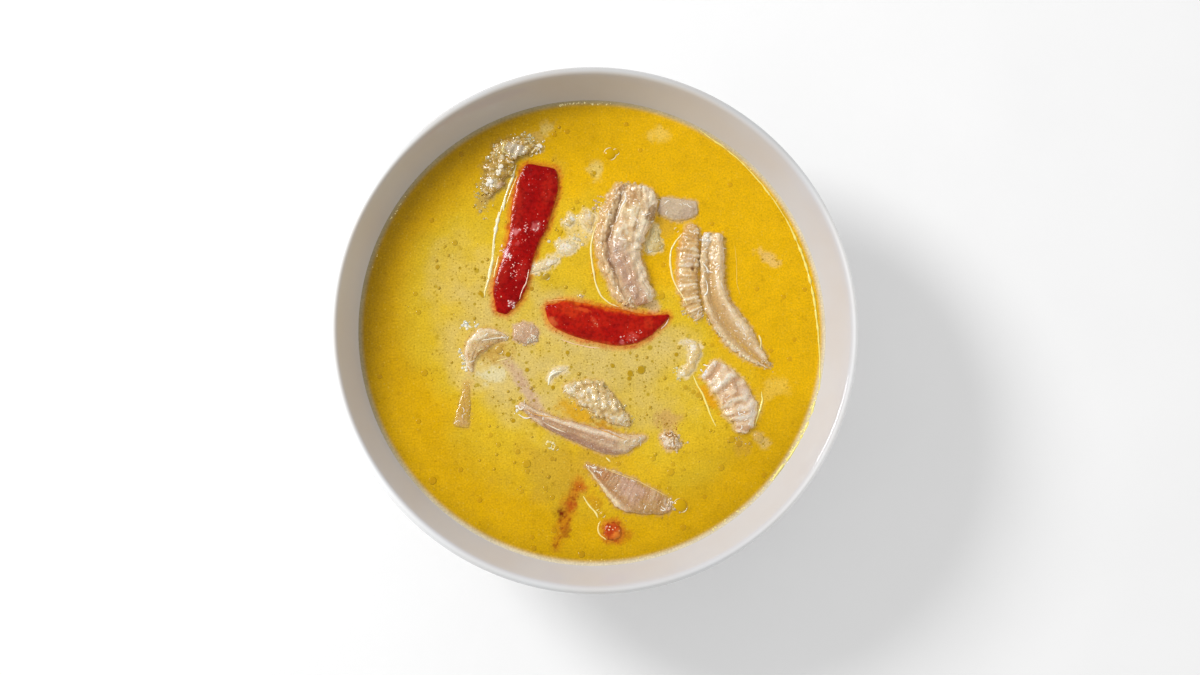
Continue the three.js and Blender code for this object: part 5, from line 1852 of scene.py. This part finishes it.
    def build(self) -> None:
        """Makes the froth on the soup and tripe, and the specks on the peppers."""
        rng = np.random.default_rng(self.seed)
        froth = WetFinish("froth_film", 0.08, 0.08).material()
        roughened(self.scatter(self.CLUSTERS, rng, 0.45), 0.12).piece("froth", froth, "broth")
        roughened(self.scatter(self.PEPPER_SPECKS, rng, 0.3), 0.11).piece("pepper_specks", froth, "pepper")


@dataclass
class OilDrops:
    """Flat drops of oil on the soup, a few of them large and known by place, the rest scattered."""

    broth: Broth
    seed: int = 29
    scattered: int = 760
    flatness: float = 0.05
    thin: tuple[float, float, float] = (0.72, 0.60, 0.06)
    sizes: Range = (0.25, 1.0)
    wall_gap: float = 3.8
    piece_gap: float = 0.3
    large: float = 0.85
    clearest: float = 0.007  # least blue of the soup under a small drop
    creamy: Fade = Fade(0.004, 0.09, 0.6)  # by the soup's blue
    least_creamy: float = 0.4
    edge: Fade = Fade(0.74, 1.0)  # by the share of a drop's radius

    KNOWN = (
        (-53.7, -50.6, 1.5), (-56.7, -14.6, 1.3), (-22.4, -44.9, 1.6), (-25.4, -40.9, 1.0),
        (-22.4, -13.4, 0.9), (16.0, -13.2, 1.7), (12.3, -14.3, 1.2), (-11.6, 32.9, 0.9),
        (-28.1, -4.8, 1.5), (-28.8, -8.2, 1.1), (-46.9, 29.4, 1.1), (-60.0, 12.0, 0.9),
        (-52.0, 14.0, 0.7), (36.0, 4.0, 1.1), (40.0, -4.6, 0.9), (31.0, -19.0, 0.9), (-21.0, -19.6, 0.8),
        (-24.0, -54.0, 0.9), (-38.0, -57.0, 1.0), (30.0, -66.0, 1.2), (20.0, -43.0, 1.0),
        (26.0, -47.5, 1.4), (-4.0, -75.0, 1.3), (-20.0, -73.0, 1.1), (49.0, -38.0, 1.3),
        (-27.0, -30.5, 0.9), (43.0, -46.0, 1.2), (-45.0, 48.0, 0.8), (23.0, 12.0, 1.4),
        (18.0, -9.0, 0.7), (24.0, -16.0, 0.8), (6.0, -11.5, 0.6), (36.0, -7.6, 0.9), (37.4, -4.2, 0.8),
        (-9.6, -17.0, 0.6), (46.6, -36.4, 1.3), (35.2, -21.6, 1.0), (-34.5, -35.3, 0.9),
        (-28.0, -23.3, 0.7), (-33.8, -22.6, 0.6),
    )

    def build(self) -> None:
        """Scatters drops, mostly small, clear of the pieces and where there is cream, as one mesh."""
        rng = np.random.default_rng(self.seed)
        radius = self.broth.edge[0] - self.wall_gap
        reach, turn = radius * np.sqrt(rng.random(self.scattered)), rng.random(self.scattered) * 2 * np.pi
        x, y = reach * np.cos(turn), reach * np.sin(turn)
        least, most = self.sizes
        size = least + (most - least) * rng.random(self.scattered) ** 3
        known = np.array(self.KNOWN)
        x, y, size = np.vstack([known, np.column_stack([x, y, size])]).T
        clear = np.ones(len(x), bool)
        for _, ring in self.broth.outlines:
            distance, inside = ring_distance(x, y, ring)
            clear &= ~inside & (distance > size + self.piece_gap)
        x, y, size = x[clear], y[clear], size[clear]
        under = self.broth.colours(x, y)
        large = size > self.large
        small = ~large & (under[:, 2] > self.clearest)
        parts = [self.drops(x[mask], y[mask], size[mask], under[mask], *faces)
                 for mask, faces in ((large, (20, 2)), (small, (10, 1)))]
        joined(parts).piece("oil_drops", WetFinish("oil", 0.12, 0.06).material(), "broth")

    def drops(self, x: np.ndarray, y: np.ndarray, size: np.ndarray, under: np.ndarray, sides: int,
              steps: int) -> Surface:
        """Flat domes whose colour fades to the soup's at their edge, laid on the soup's ripples."""
        centres = np.column_stack([x, y, -0.3 * self.flatness * size])
        creamy = self.least_creamy + self.creamy.at(under[:, 2:])
        tints = under * (1 - creamy * (1 - np.array(self.thin)))
        made = dome_surface(centres, size, self.flatness, tints, sides, steps)
        each = len(made.points) // len(x)
        middle, reach = np.repeat(centres[:, :2], each, axis=0), np.repeat(size, each)
        away = np.hypot(*(made.points[:, :2] - middle).T) / reach
        made.paint = blend(made.paint, np.repeat(under, each, axis=0), self.edge.at(away))
        made.points[:, 2] += self.broth.height(made.points[:, 0], made.points[:, 1])
        return made


@dataclass
class Bubbles:
    """The few large bubbles: each a thin dome of broth with a raised ring at its foot."""

    broth: Broth
    dome_reach: float = 0.9
    dome_flatness: float = 0.3
    dome_shade: float = 0.94
    dome_rings: int = 6
    turns: int = 28
    tubes: int = 8
    # Painted highlight on the rings, strongest at the lit angle and opposite it.
    ring_highlight: Tint = (255, 246, 200)
    lit_angle: float = 2.3

    PLACES = (
        (5.6, 60.5, 2.1), (29.2, -58.7, 2.4), (28.2, 34.6, 0.8), (-31.8, -6.8, 1.3), (7.6, 61.2, 1.1),
        (-16.0, 18.2, 1.1), (-15.0, -38.6, 1.1), (-12.6, -39.6, 0.8), (3.0, -61.8, 0.9), (-21.5, 60.1, 0.85),
        (-28.1, 56.0, 1.0), (-28.3, 53.2, 0.8),
    )

    def build(self) -> None:
        """Domes and rings, painted like the broth under them, the domes a little darker as painted shade and
        the rings with a painted highlight.
        """
        known = np.array(self.PLACES)
        x, y, size = known.T
        top = Top(self.broth)
        height = top.height(x, y)
        under = self.broth.colours(x, y)
        centres = np.column_stack([x, y, height])
        domes = dome_surface(centres, size * self.dome_reach, self.dome_flatness, under * self.dome_shade,
                             self.turns, self.dome_rings)
        rings = [self.ring(centre, radius, tint) for centre, radius, tint in zip(centres, size, under)]
        surface = joined([domes, *rings])
        surface.piece("bubbles", WetFinish("bubble_skin", 0.05, 0.03).material(), "broth")

    def ring(self, centre: np.ndarray, radius: float, under: np.ndarray) -> Surface:
        """A torus, thick and pale with a painted highlight at the upper left and lower right, and lost in
        the soup between.
        """
        turns, tubes = self.turns, self.tubes
        turn, tube = np.arange(turns) * 2 * np.pi / turns, np.arange(tubes) * 2 * np.pi / tubes
        places = np.stack([np.cos(turn), np.sin(turn), np.full(turns, radius * 9)], axis=-1)
        uneven = 0.5 * noise(places * 1.7, 83)
        lit = smooth(-0.4, 1.1, np.cos(2 * (turn - self.lit_angle)) + uneven)
        thick = ((0.04 + 0.09 * lit) * (1 + 0.15 * radius))[:, None]
        reach = radius + thick * np.cos(tube)
        x, y = reach * np.cos(turn)[:, None], reach * np.sin(turn)[:, None]
        points = np.stack([x, y, thick * np.sin(tube)], axis=-1).reshape(-1, 3)
        row, column = np.mgrid[0:turns, 0:tubes]
        after, beside = (row + 1) % turns * tubes, (column + 1) % tubes
        row = row * tubes
        faces = np.stack([row + column, after + column, after + beside, row + beside], axis=-1)
        # Painted highlight: the ring paler where it is lit.
        paint = blend(np.broadcast_to(under, (turns, 3)), linear(self.ring_highlight), lit * 0.85)
        return Surface(points + centre, [faces.reshape(-1, 4)], np.repeat(paint, tubes, axis=0)).outward()


@dataclass(frozen=True)
class GlintLine:
    """A thin raised line that stands for light caught on the soup's meniscus and on wet food, mostly a
    painted highlight: its path, width and colour.
    """

    path: tuple[Place, ...]
    width: float
    tint: Tint = (255, 240, 172)
    broken: float = 0.35


@dataclass
class GlintLines:
    """All the thin bright lines, painted highlights: half-round threads that follow the soup or the food."""

    top: Top
    pitch: float = 0.3
    sides: int = 6
    seed: int = 97
    glint_area: float = 13.0  # one glint to so much of a piece
    glint_step: float = 0.55
    glint_bend: float = 0.9
    glint_widths: Range = (0.18, 0.34)
    glint_tint: Tint = (254, 246, 230)

    # Painted highlights: glints on the soup's meniscus beside the pieces and along the wall, and on the wet
    # food; the few gold lines are the deeper soup at a piece's edge.
    LINES = (
        GlintLine(((-26.4, 56.3), (-29.0, 48.0), (-31.2, 41.2), (-33.3, 33.4), (-34.3, 25.0), (-34.8, 19.8),
               (-36.5, 13.7), (-36.9, 11.0)), 0.6, (250, 238, 186), 0.5),
        GlintLine(((-26.4, 56.3), (-27.4, 52.3), (-29.0, 48.0), (-30.2, 44.0), (-30.6, 40.5)),
              0.8, (250, 240, 196)),
        GlintLine(((-26.0, 52.5), (-28.0, 47.4), (-29.5, 43.0)), 0.35),
        GlintLine(((-32.0, 40.2), (-32.6, 36.9), (-33.3, 33.4), (-33.6, 30.8)), 1.25, (252, 244, 206), 0.6),
        GlintLine(((-33.4, 29.4), (-34.2, 23.0), (-34.8, 19.8), (-36.5, 13.7), (-36.9, 11.4)), 0.6),
        GlintLine(((-31.2, 64.1), (-30.5, 62.4), (-31.2, 61.0), (-30.2, 60.1), (-27.9, 59.7), (-24.1, 59.1)),
              0.4, (250, 236, 160)),
        GlintLine(((-34.0, 24.2), (-35.6, 17.6)), 1.1, (250, 244, 200)),
        GlintLine(((-32.1, 25.2), (-33.2, 20.5), (-33.8, 17.8)), 0.45),
        GlintLine(((-22.0, 20.5), (-22.7, 16.4), (-24.1, 13.4), (-25.1, 10.3)), 0.4, (250, 214, 190)),
        GlintLine(((-11.3, -2.9), (-6.2, -4.6), (-1.1, -5.6), (2.2, -5.9)), 0.4, (250, 206, 170)),
        GlintLine(((25.4, 4.4), (24.6, 2.6), (22.8, 0.6)), 0.45, (255, 222, 200)),
        GlintLine(((-15.6, 9.9), (-12.6, 10.4), (-9.2, 10.3)), 0.35, (252, 196, 120)),
        GlintLine(((10.5, 47.1), (10.6, 44.7), (9.3, 42.0), (8.3, 39.0), (7.3, 36.6)), 0.65, (255, 250, 236)),
        GlintLine(((1.2, 36.6), (0.2, 33.9), (-0.8, 29.5), (-0.8, 25.2), (-0.1, 20.5), (0.9, 15.4),
               (2.9, 11.4), (5.6, 9.3), (8.6, 8.0)), 0.65),
        GlintLine(((30.2, 33.3), (27.8, 30.6), (26.1, 26.5), (26.1, 22.1), (26.8, 18.1), (28.5, 14.4),
               (30.2, 11.4), (31.5, 8.7)), 0.65),
        GlintLine(((36.9, 23.1), (38.3, 21.5), (38.9, 19.8)), 0.6, (255, 250, 236)),
        GlintLine(((37.9, 17.4), (38.6, 15.1), (38.3, 13.0), (37.3, 12.0)), 0.6, (255, 250, 236)),
        GlintLine(((48.0, 29.5), (48.7, 23.1), (48.7, 17.1), (49.7, 12.7)), 0.22, (244, 206, 90)),
        GlintLine(((56.1, -1.1), (56.8, -3.5), (56.1, -6.2)), 0.6),
        GlintLine(((33.6, -14.9), (34.9, -18.0), (36.6, -20.7), (38.6, -26.0), (40.3, -30.1), (41.3, -32.1)),
              0.6, (255, 238, 140)),
        GlintLine(((56.8, -20.3), (57.1, -23.3), (55.8, -27.7), (54.4, -32.1)), 0.6, (255, 238, 140)),
        GlintLine(((-2.5, -44.9), (-0.5, -48.3), (2.2, -52.0), (4.9, -55.4), (6.6, -58.4)),
              0.3, (240, 212, 150)),
        GlintLine(((2.3, -45.7), (7.1, -47.8), (10.4, -49.0), (14.4, -50.3), (17.8, -52.0), (21.3, -53.9),
               (25.1, -55.8)), 0.34, (240, 204, 130)),
        GlintLine(((-3.5, -55.7), (-1.1, -59.1), (0.9, -61.4), (1.5, -62.8)), 0.65, (255, 236, 150)),
        GlintLine(((2.2, -63.8), (1.5, -66.1), (2.2, -68.5), (4.2, -70.2)), 0.6, (255, 228, 140)),
        GlintLine(((-25.6, -25.2), (-24.6, -26.7), (-23.2, -26.2)), 0.55, (252, 242, 224)),
        GlintLine(((-25.2, -28.3), (-23.2, -29.6), (-20.8, -29.5)), 0.5, (252, 242, 224)),
        GlintLine(((-17.0, -31.0), (-13.4, -32.9), (-9.4, -34.6)), 0.32, (248, 232, 206)),
        GlintLine(((-24.1, -26.4), (-19.7, -28.4), (-14.6, -29.4), (-9.2, -30.4)), 0.3, (236, 180, 90)),
        GlintLine(((-3.5, -31.4), (0.9, -33.0), (6.3, -35.2), (11.0, -37.0)), 0.3, (226, 160, 60)),
        GlintLine(((-15.3, -18.6), (-14.6, -15.6), (-12.9, -14.3), (-10.6, -14.0)), 0.7, (255, 250, 220)),
        GlintLine(((-37.6, -3.8), (-34.2, -3.1), (-30.6, -2.6)), 0.45, (255, 246, 220)),
        GlintLine(((-38.9, -7.5), (-37.9, -6.8), (-36.9, -6.5)), 0.4, (255, 244, 190)),
        GlintLine(((-33.0, -10.6), (-30.5, -10.0), (-28.6, -9.4)), 0.3, (250, 230, 150)),
        GlintLine(((-42.9, -9.9), (-42.6, -11.9), (-42.9, -13.9)), 0.5, (250, 246, 226)),
        GlintLine(((4.2, -42.6), (5.6, -44.2)), 0.5),
        GlintLine(((35.9, 69.3), (49.4, 59.2), (61.2, 45.7), (69.6, 30.6), (74.3, 15.4), (76.3, 0.2),
               (76.7, -16.6), (75.4, -28.0)), 0.65, (255, 238, 130), 0.8),
        GlintLine(((75.4, -22.0), (72.6, -31.0), (68.0, -39.5), (60.0, -50.5)), 0.8, (255, 242, 150), 1.1),
    )

    def thread(self, crest: GlintLine, seed: int) -> Surface:
        """One thread: an ellipse carried along a smooth path, thin at its ends and uneven between.

        Args:
            crest: the line.
            seed: picks how uneven it is.

        Returns:
            Its closed surface.
        """
        knots = np.column_stack([np.array(crest.path), np.zeros(len(crest.path))])
        length = float(np.linalg.norm(np.diff(knots, axis=0), axis=1).sum())
        count = max(8, int(length / self.pitch))
        share = np.linspace(0, 1, count)
        line = spline(knots, share, True)
        run = share * length
        sway = 0.12 * layered(level_places(run / 2.2, 0 * run), seed)
        ahead = np.gradient(line[:, :2], axis=0)
        ahead /= np.linalg.norm(ahead, axis=1)[:, None]
        across = np.column_stack([-ahead[:, 1], ahead[:, 0]])
        flat = line[:, :2] + across * sway[:, None]
        height = self.top.height(flat[:, 0], flat[:, 1])
        height = np.convolve(np.pad(height, 2, "edge"), np.ones(5) / 5, "valid")
        uneven = 1 + crest.broken * noise(level_places(run / 1.4, 0 * run), seed + 3)
        taper = np.sin(np.pi * np.clip(share, 0.004, 0.996)) ** 0.35
        radius = crest.width / 2 * taper * np.clip(uneven, 0.06, 2)
        angle = np.arange(self.sides) * 2 * np.pi / self.sides
        aside = radius[:, None] * np.cos(angle)
        points = np.stack([flat[:, :1] + across[:, :1] * aside, flat[:, 1:] + across[:, 1:] * aside,
                           height[:, None] + 0.75 * radius[:, None] * np.sin(angle)], axis=-1)
        tips = np.column_stack([flat[[0, -1]], height[[0, -1]]])
        points = np.vstack([points.reshape(-1, 3), tips])
        paint = np.broadcast_to(linear(crest.tint), points.shape)
        return Surface(points, tube_faces(count, self.sides), paint).outward()

    def glints(self) -> list[GlintLine]:
        """Short crooked threads where the wet tripe catches the light."""
        rng = np.random.default_rng(self.seed)
        lines = []
        for strip in self.top.broth.strips:
            inner = (np.abs(strip.across) < 0.75) & (strip.normal[..., 2] > 0.7)
            shown = strip.grid[inner & (strip.grid[..., 2] > LEVEL + strip.film + 0.3)]
            if strip.slot == "pepper" or not len(shown):
                continue
            for _ in range(int(strip.area_shown() / self.glint_area)):
                place = shown[rng.integers(len(shown)), :2]
                heading = rng.uniform(0, 2 * np.pi)
                path = [tuple(place)]
                for _ in range(rng.integers(2, 5)):
                    heading += rng.uniform(-self.glint_bend, self.glint_bend)
                    place = place + self.glint_step * np.array([math.cos(heading), math.sin(heading)])
                    path.append(tuple(place))
                lines.append(GlintLine(tuple(path), rng.uniform(*self.glint_widths), self.glint_tint))
        return lines

    def build(self) -> None:
        """Makes every line, joined as one piece."""
        lines = [*self.LINES, *self.glints()]
        threads = [self.thread(crest, 900 + 7 * number) for number, crest in enumerate(lines)]
        # Painted highlights, as pale threads.
        joined(threads).piece("painted_glints", WetFinish("painted_glint", 0.08, 0.05).material(), "broth")


@dataclass
class Crumbs:
    """Loose crumbs of tripe near the pieces: small lumpy grains, half sunk."""

    top: Top
    seed: int = 53

    PATCHES = (
        Cluster(((-12.0, 30.0), (-3.0, 33.0)), 3.4, 16, (0.3, 0.8), (242, 222, 178)),
        Cluster(((-20.0, 19.0), (-10.0, 25.0)), 1.6, 9, (0.25, 0.6), (238, 214, 174)),
        Cluster(((-9.0, 37.0), (-5.0, 38.5)), 2.4, 10, (0.25, 0.6), (240, 214, 160)),
        Cluster(((2.0, 46.5), (0.5, 41.5), (-1.5, 36.0)), 1.6, 14, (0.3, 0.65), (226, 190, 140)),
        Cluster(((9.0, 50.2), (17.0, 49.4)), 1.0, 18, (0.25, 0.6), (228, 196, 146)),
        Cluster(((21.0, 36.0), (22.5, 30.0)), 2.0, 18, (0.25, 0.7), (228, 208, 150)),
        Cluster(((56.0, -9.5), (60.0, -12.6)), 1.8, 22, (0.2, 0.6), (232, 198, 150)),
        Cluster(((23.5, -35.5), (29.0, -38.5)), 3.0, 44, (0.25, 0.7), (240, 206, 164)),
        Cluster(((-10.0, -18.0), (2.0, -18.6), (9.0, -25.5), (13.0, -32.0)), 2.0, 34, (0.25, 0.6),
                (230, 204, 142)),
        Cluster(((-6.0, -25.0), (4.0, -30.5)), 1.4, 16, (0.25, 0.55), (224, 194, 130)),
        Cluster(((-18.0, 64.0), (-24.0, 66.0), (-31.0, 64.0), (-36.0, 58.0)), 1.8, 40, (0.25, 0.75),
                (216, 196, 146)),
        Cluster(((-37.0, 52.0), (-39.5, 45.0), (-38.0, 39.0)), 2.2, 34, (0.2, 0.65), (206, 180, 116)),
        Cluster(((-44.5, 1.5), (-38.5, 2.0)), 1.4, 14, (0.25, 0.7), (244, 234, 206)),
        Cluster(((-45.0, -6.5), (-43.5, -13.0)), 1.0, 14, (0.25, 0.7), (240, 228, 196)),
        Cluster(((-24.5, -4.6), (-19.0, -3.6)), 1.2, 14, (0.25, 0.6), (226, 200, 164)),
        Cluster(((47.0, -36.0), (53.0, -38.0)), 2.4, 14, (0.2, 0.5), (224, 180, 96)),
        Cluster(((27.5, -12.0), (29.0, -16.5)), 1.3, 12, (0.25, 0.6), (238, 222, 170)),
        Cluster(((30.0, 8.0), (35.5, 3.0)), 1.4, 16, (0.2, 0.55), (226, 198, 146)),
        Cluster(((37.0, 5.5), (44.0, -3.0)), 1.0, 20, (0.2, 0.55), (222, 186, 130)),
        Cluster(((24.0, -57.0), (29.0, -61.0)), 1.6, 14, (0.2, 0.55), (214, 182, 140)),
        Cluster(((10.0, -64.0), (12.0, -62.0)), 0.9, 8, (0.2, 0.45), (206, 150, 60)),
        Cluster(((-4.0, 12.0), (-6.0, 10.8)), 1.2, 8, (0.25, 0.6), (232, 196, 140)),
    )

    def build(self) -> None:
        """Scatters domes, roughens every one with noise, and makes one piece."""
        rng = np.random.default_rng(self.seed)
        crumbs = roughened(Froth(self.top).scatter(self.PATCHES, rng, 0.42), 0.15)
        crumbs.piece("crumbs", TripeFinish().material(), "tripe")


@dataclass
class Studio:
    """Floor, lights and camera.

    Attributes:
        centre_pixel: where the middle of the rim appears in the 1200 by 675 picture.
        toward: direction from the bowl to the camera.
        distance: from the camera to the level of the rim.
    """

    rim_height: float = 57.0
    picture: tuple[float, float] = (1200.0, 675.0)
    centre_pixel: tuple[float, float] = (596.0, 326.8)
    pixels_per_mm: float = 3.018
    toward: tuple[float, float, float] = (-0.068, -0.103, 0.992)
    distance: float = 700.0
    lens: float = 63.4
    key_toward: tuple[float, float, float] = (-0.68, 0.40, 0.61)
    key_distance: float = 1500.0
    key_size: float = 460.0
    key_watts: float = 13.0
    fill_strength: float = 1.15
    fill_angle: float = 150.0
    room: float = 0.33
    room_gloss: float = 0.08
    backdrop: float = 0.95
    floor_reach: float = 6000.0
    floor_tone: Mottle = Mottle(60.0, 3.0, (0.96, 0.98))
    floor_roughness: float = 0.6
    floor_waves: Waves = Waves(3.0, 2.0, 0.01)

    def aim(self) -> Vector:
        """The point at the rim's level in the middle of the picture, from the middle of the rim."""
        right = (self.picture[0] / 2 - self.centre_pixel[0]) / self.pixels_per_mm
        down = (self.picture[1] / 2 - self.centre_pixel[1]) / self.pixels_per_mm
        return Vector((right, -down, self.rim_height)) * MM

    def camera(self) -> None:
        """Looks down on the aim, with the picture's top towards +Y."""
        data = bpy.data.cameras.new("camera")
        data.lens = self.lens
        data.clip_start, data.clip_end = 0.01, 50.0
        made = bpy.data.objects.new("camera", data)
        back = Vector(self.toward).normalized()
        made.location = self.aim() + back * self.distance * MM
        right = Vector((0, 1, 0)).cross(back).normalized()
        up = back.cross(right)
        turn = made.matrix_world.to_3x3()
        turn.col[0], turn.col[1], turn.col[2] = right, up, back
        made.rotation_mode = "QUATERNION"
        made.rotation_quaternion = turn.to_quaternion()
        bpy.context.scene.collection.objects.link(made)
        bpy.context.scene.camera = made

    def lights(self) -> None:
        """A soft key from the upper left, and a wide fill from above that casts no reflection."""
        key = bpy.data.lights.new("key", "AREA")
        key.shape, key.size, key.energy = "DISK", self.key_size * MM, self.key_watts
        place = bpy.data.objects.new("key", key)
        back = Vector(self.key_toward).normalized()
        place.location = back * self.key_distance * MM
        place.rotation_mode = "QUATERNION"
        place.rotation_quaternion = back.to_track_quat("Z", "Y")
        fill = bpy.data.lights.new("fill", "SUN")
        fill.energy, fill.angle = self.fill_strength, math.radians(self.fill_angle)
        sky = bpy.data.objects.new("fill", fill)
        sky.visible_glossy = False
        for light in (place, sky):
            bpy.context.scene.collection.objects.link(light)

    def surroundings(self) -> None:
        """A soft room, dimmer in reflections, and a pale backdrop where the camera sees past the floor."""
        world = bpy.data.worlds.new("room")
        bpy.context.scene.world = world
        world.use_nodes = True
        nodes, links = world.node_tree.nodes, world.node_tree.links
        seen, shade = nodes.new("ShaderNodeLightPath"), nodes["Background"]
        shade.inputs["Color"].default_value = (1, 1, 1, 1)
        shade.inputs["Strength"].default_value = self.room
        for ray, strength in (("Is Glossy Ray", self.room_gloss), ("Is Camera Ray", self.backdrop)):
            other, mixed = nodes.new("ShaderNodeBackground"), nodes.new("ShaderNodeMixShader")
            other.inputs["Color"].default_value = (1, 1, 1, 1)
            other.inputs["Strength"].default_value = strength
            links.new(seen.outputs[ray], mixed.inputs[0])
            links.new(shade.outputs[0], mixed.inputs[1])
            links.new(other.outputs[0], mixed.inputs[2])
            shade = mixed
        links.new(shade.outputs[0], nodes["World Output"].inputs["Surface"])

    def floor(self) -> None:
        """A plain pale floor under the foot ring."""
        reach = self.floor_reach * MM
        mesh = bpy.data.meshes.new("floor")
        corners = [(-reach, -reach, 0), (reach, -reach, 0), (reach, reach, 0), (-reach, reach, 0)]
        mesh.from_pydata(corners, [], [(0, 1, 2, 3)])
        make = Recipe("floor_paint")
        tone = make.mottled(self.floor_tone)
        colour = make.node("ShaderNodeCombineColor", {0: tone, 1: tone, 2: tone}).outputs[0]
        mesh.materials.append(make.finish(colour, self.floor_roughness, make.waved(self.floor_waves)))
        made = bpy.data.objects.new("floor", mesh)
        bpy.context.scene.collection.objects.link(made)

    def build(self) -> None:
        """Sets everything up and picks the plain colour transform."""
        self.floor()
        self.lights()
        self.surroundings()
        self.camera()
        view = bpy.context.scene.view_settings
        view.view_transform, view.look, view.exposure = "Standard", "None", 0.0


def main() -> None:
    """Builds the bowl, the food, the soup round it and what floats on that, then the studio."""
    bowl = Bowl()
    bowl.build()
    skins = {"pepper": PepperFinish().material(), "tripe": TripeFinish().material()}
    strips = PEPPERS + TRIPE
    for strip in strips:
        strip.shape()
    broth = Broth(bowl, strips)
    for strip in strips:
        strip.surface(broth.colours).piece(f"{strip.name}_wet", skins[strip.slot], strip.slot, strip.name)
    broth.build()
    top = Top(broth)
    OilDrops(broth).build()
    Bubbles(broth).build()
    Froth(top).build()
    Crumbs(top).build()
    GlintLines(top).build()
    Studio().build()


if __name__ == "__main__":
    main()
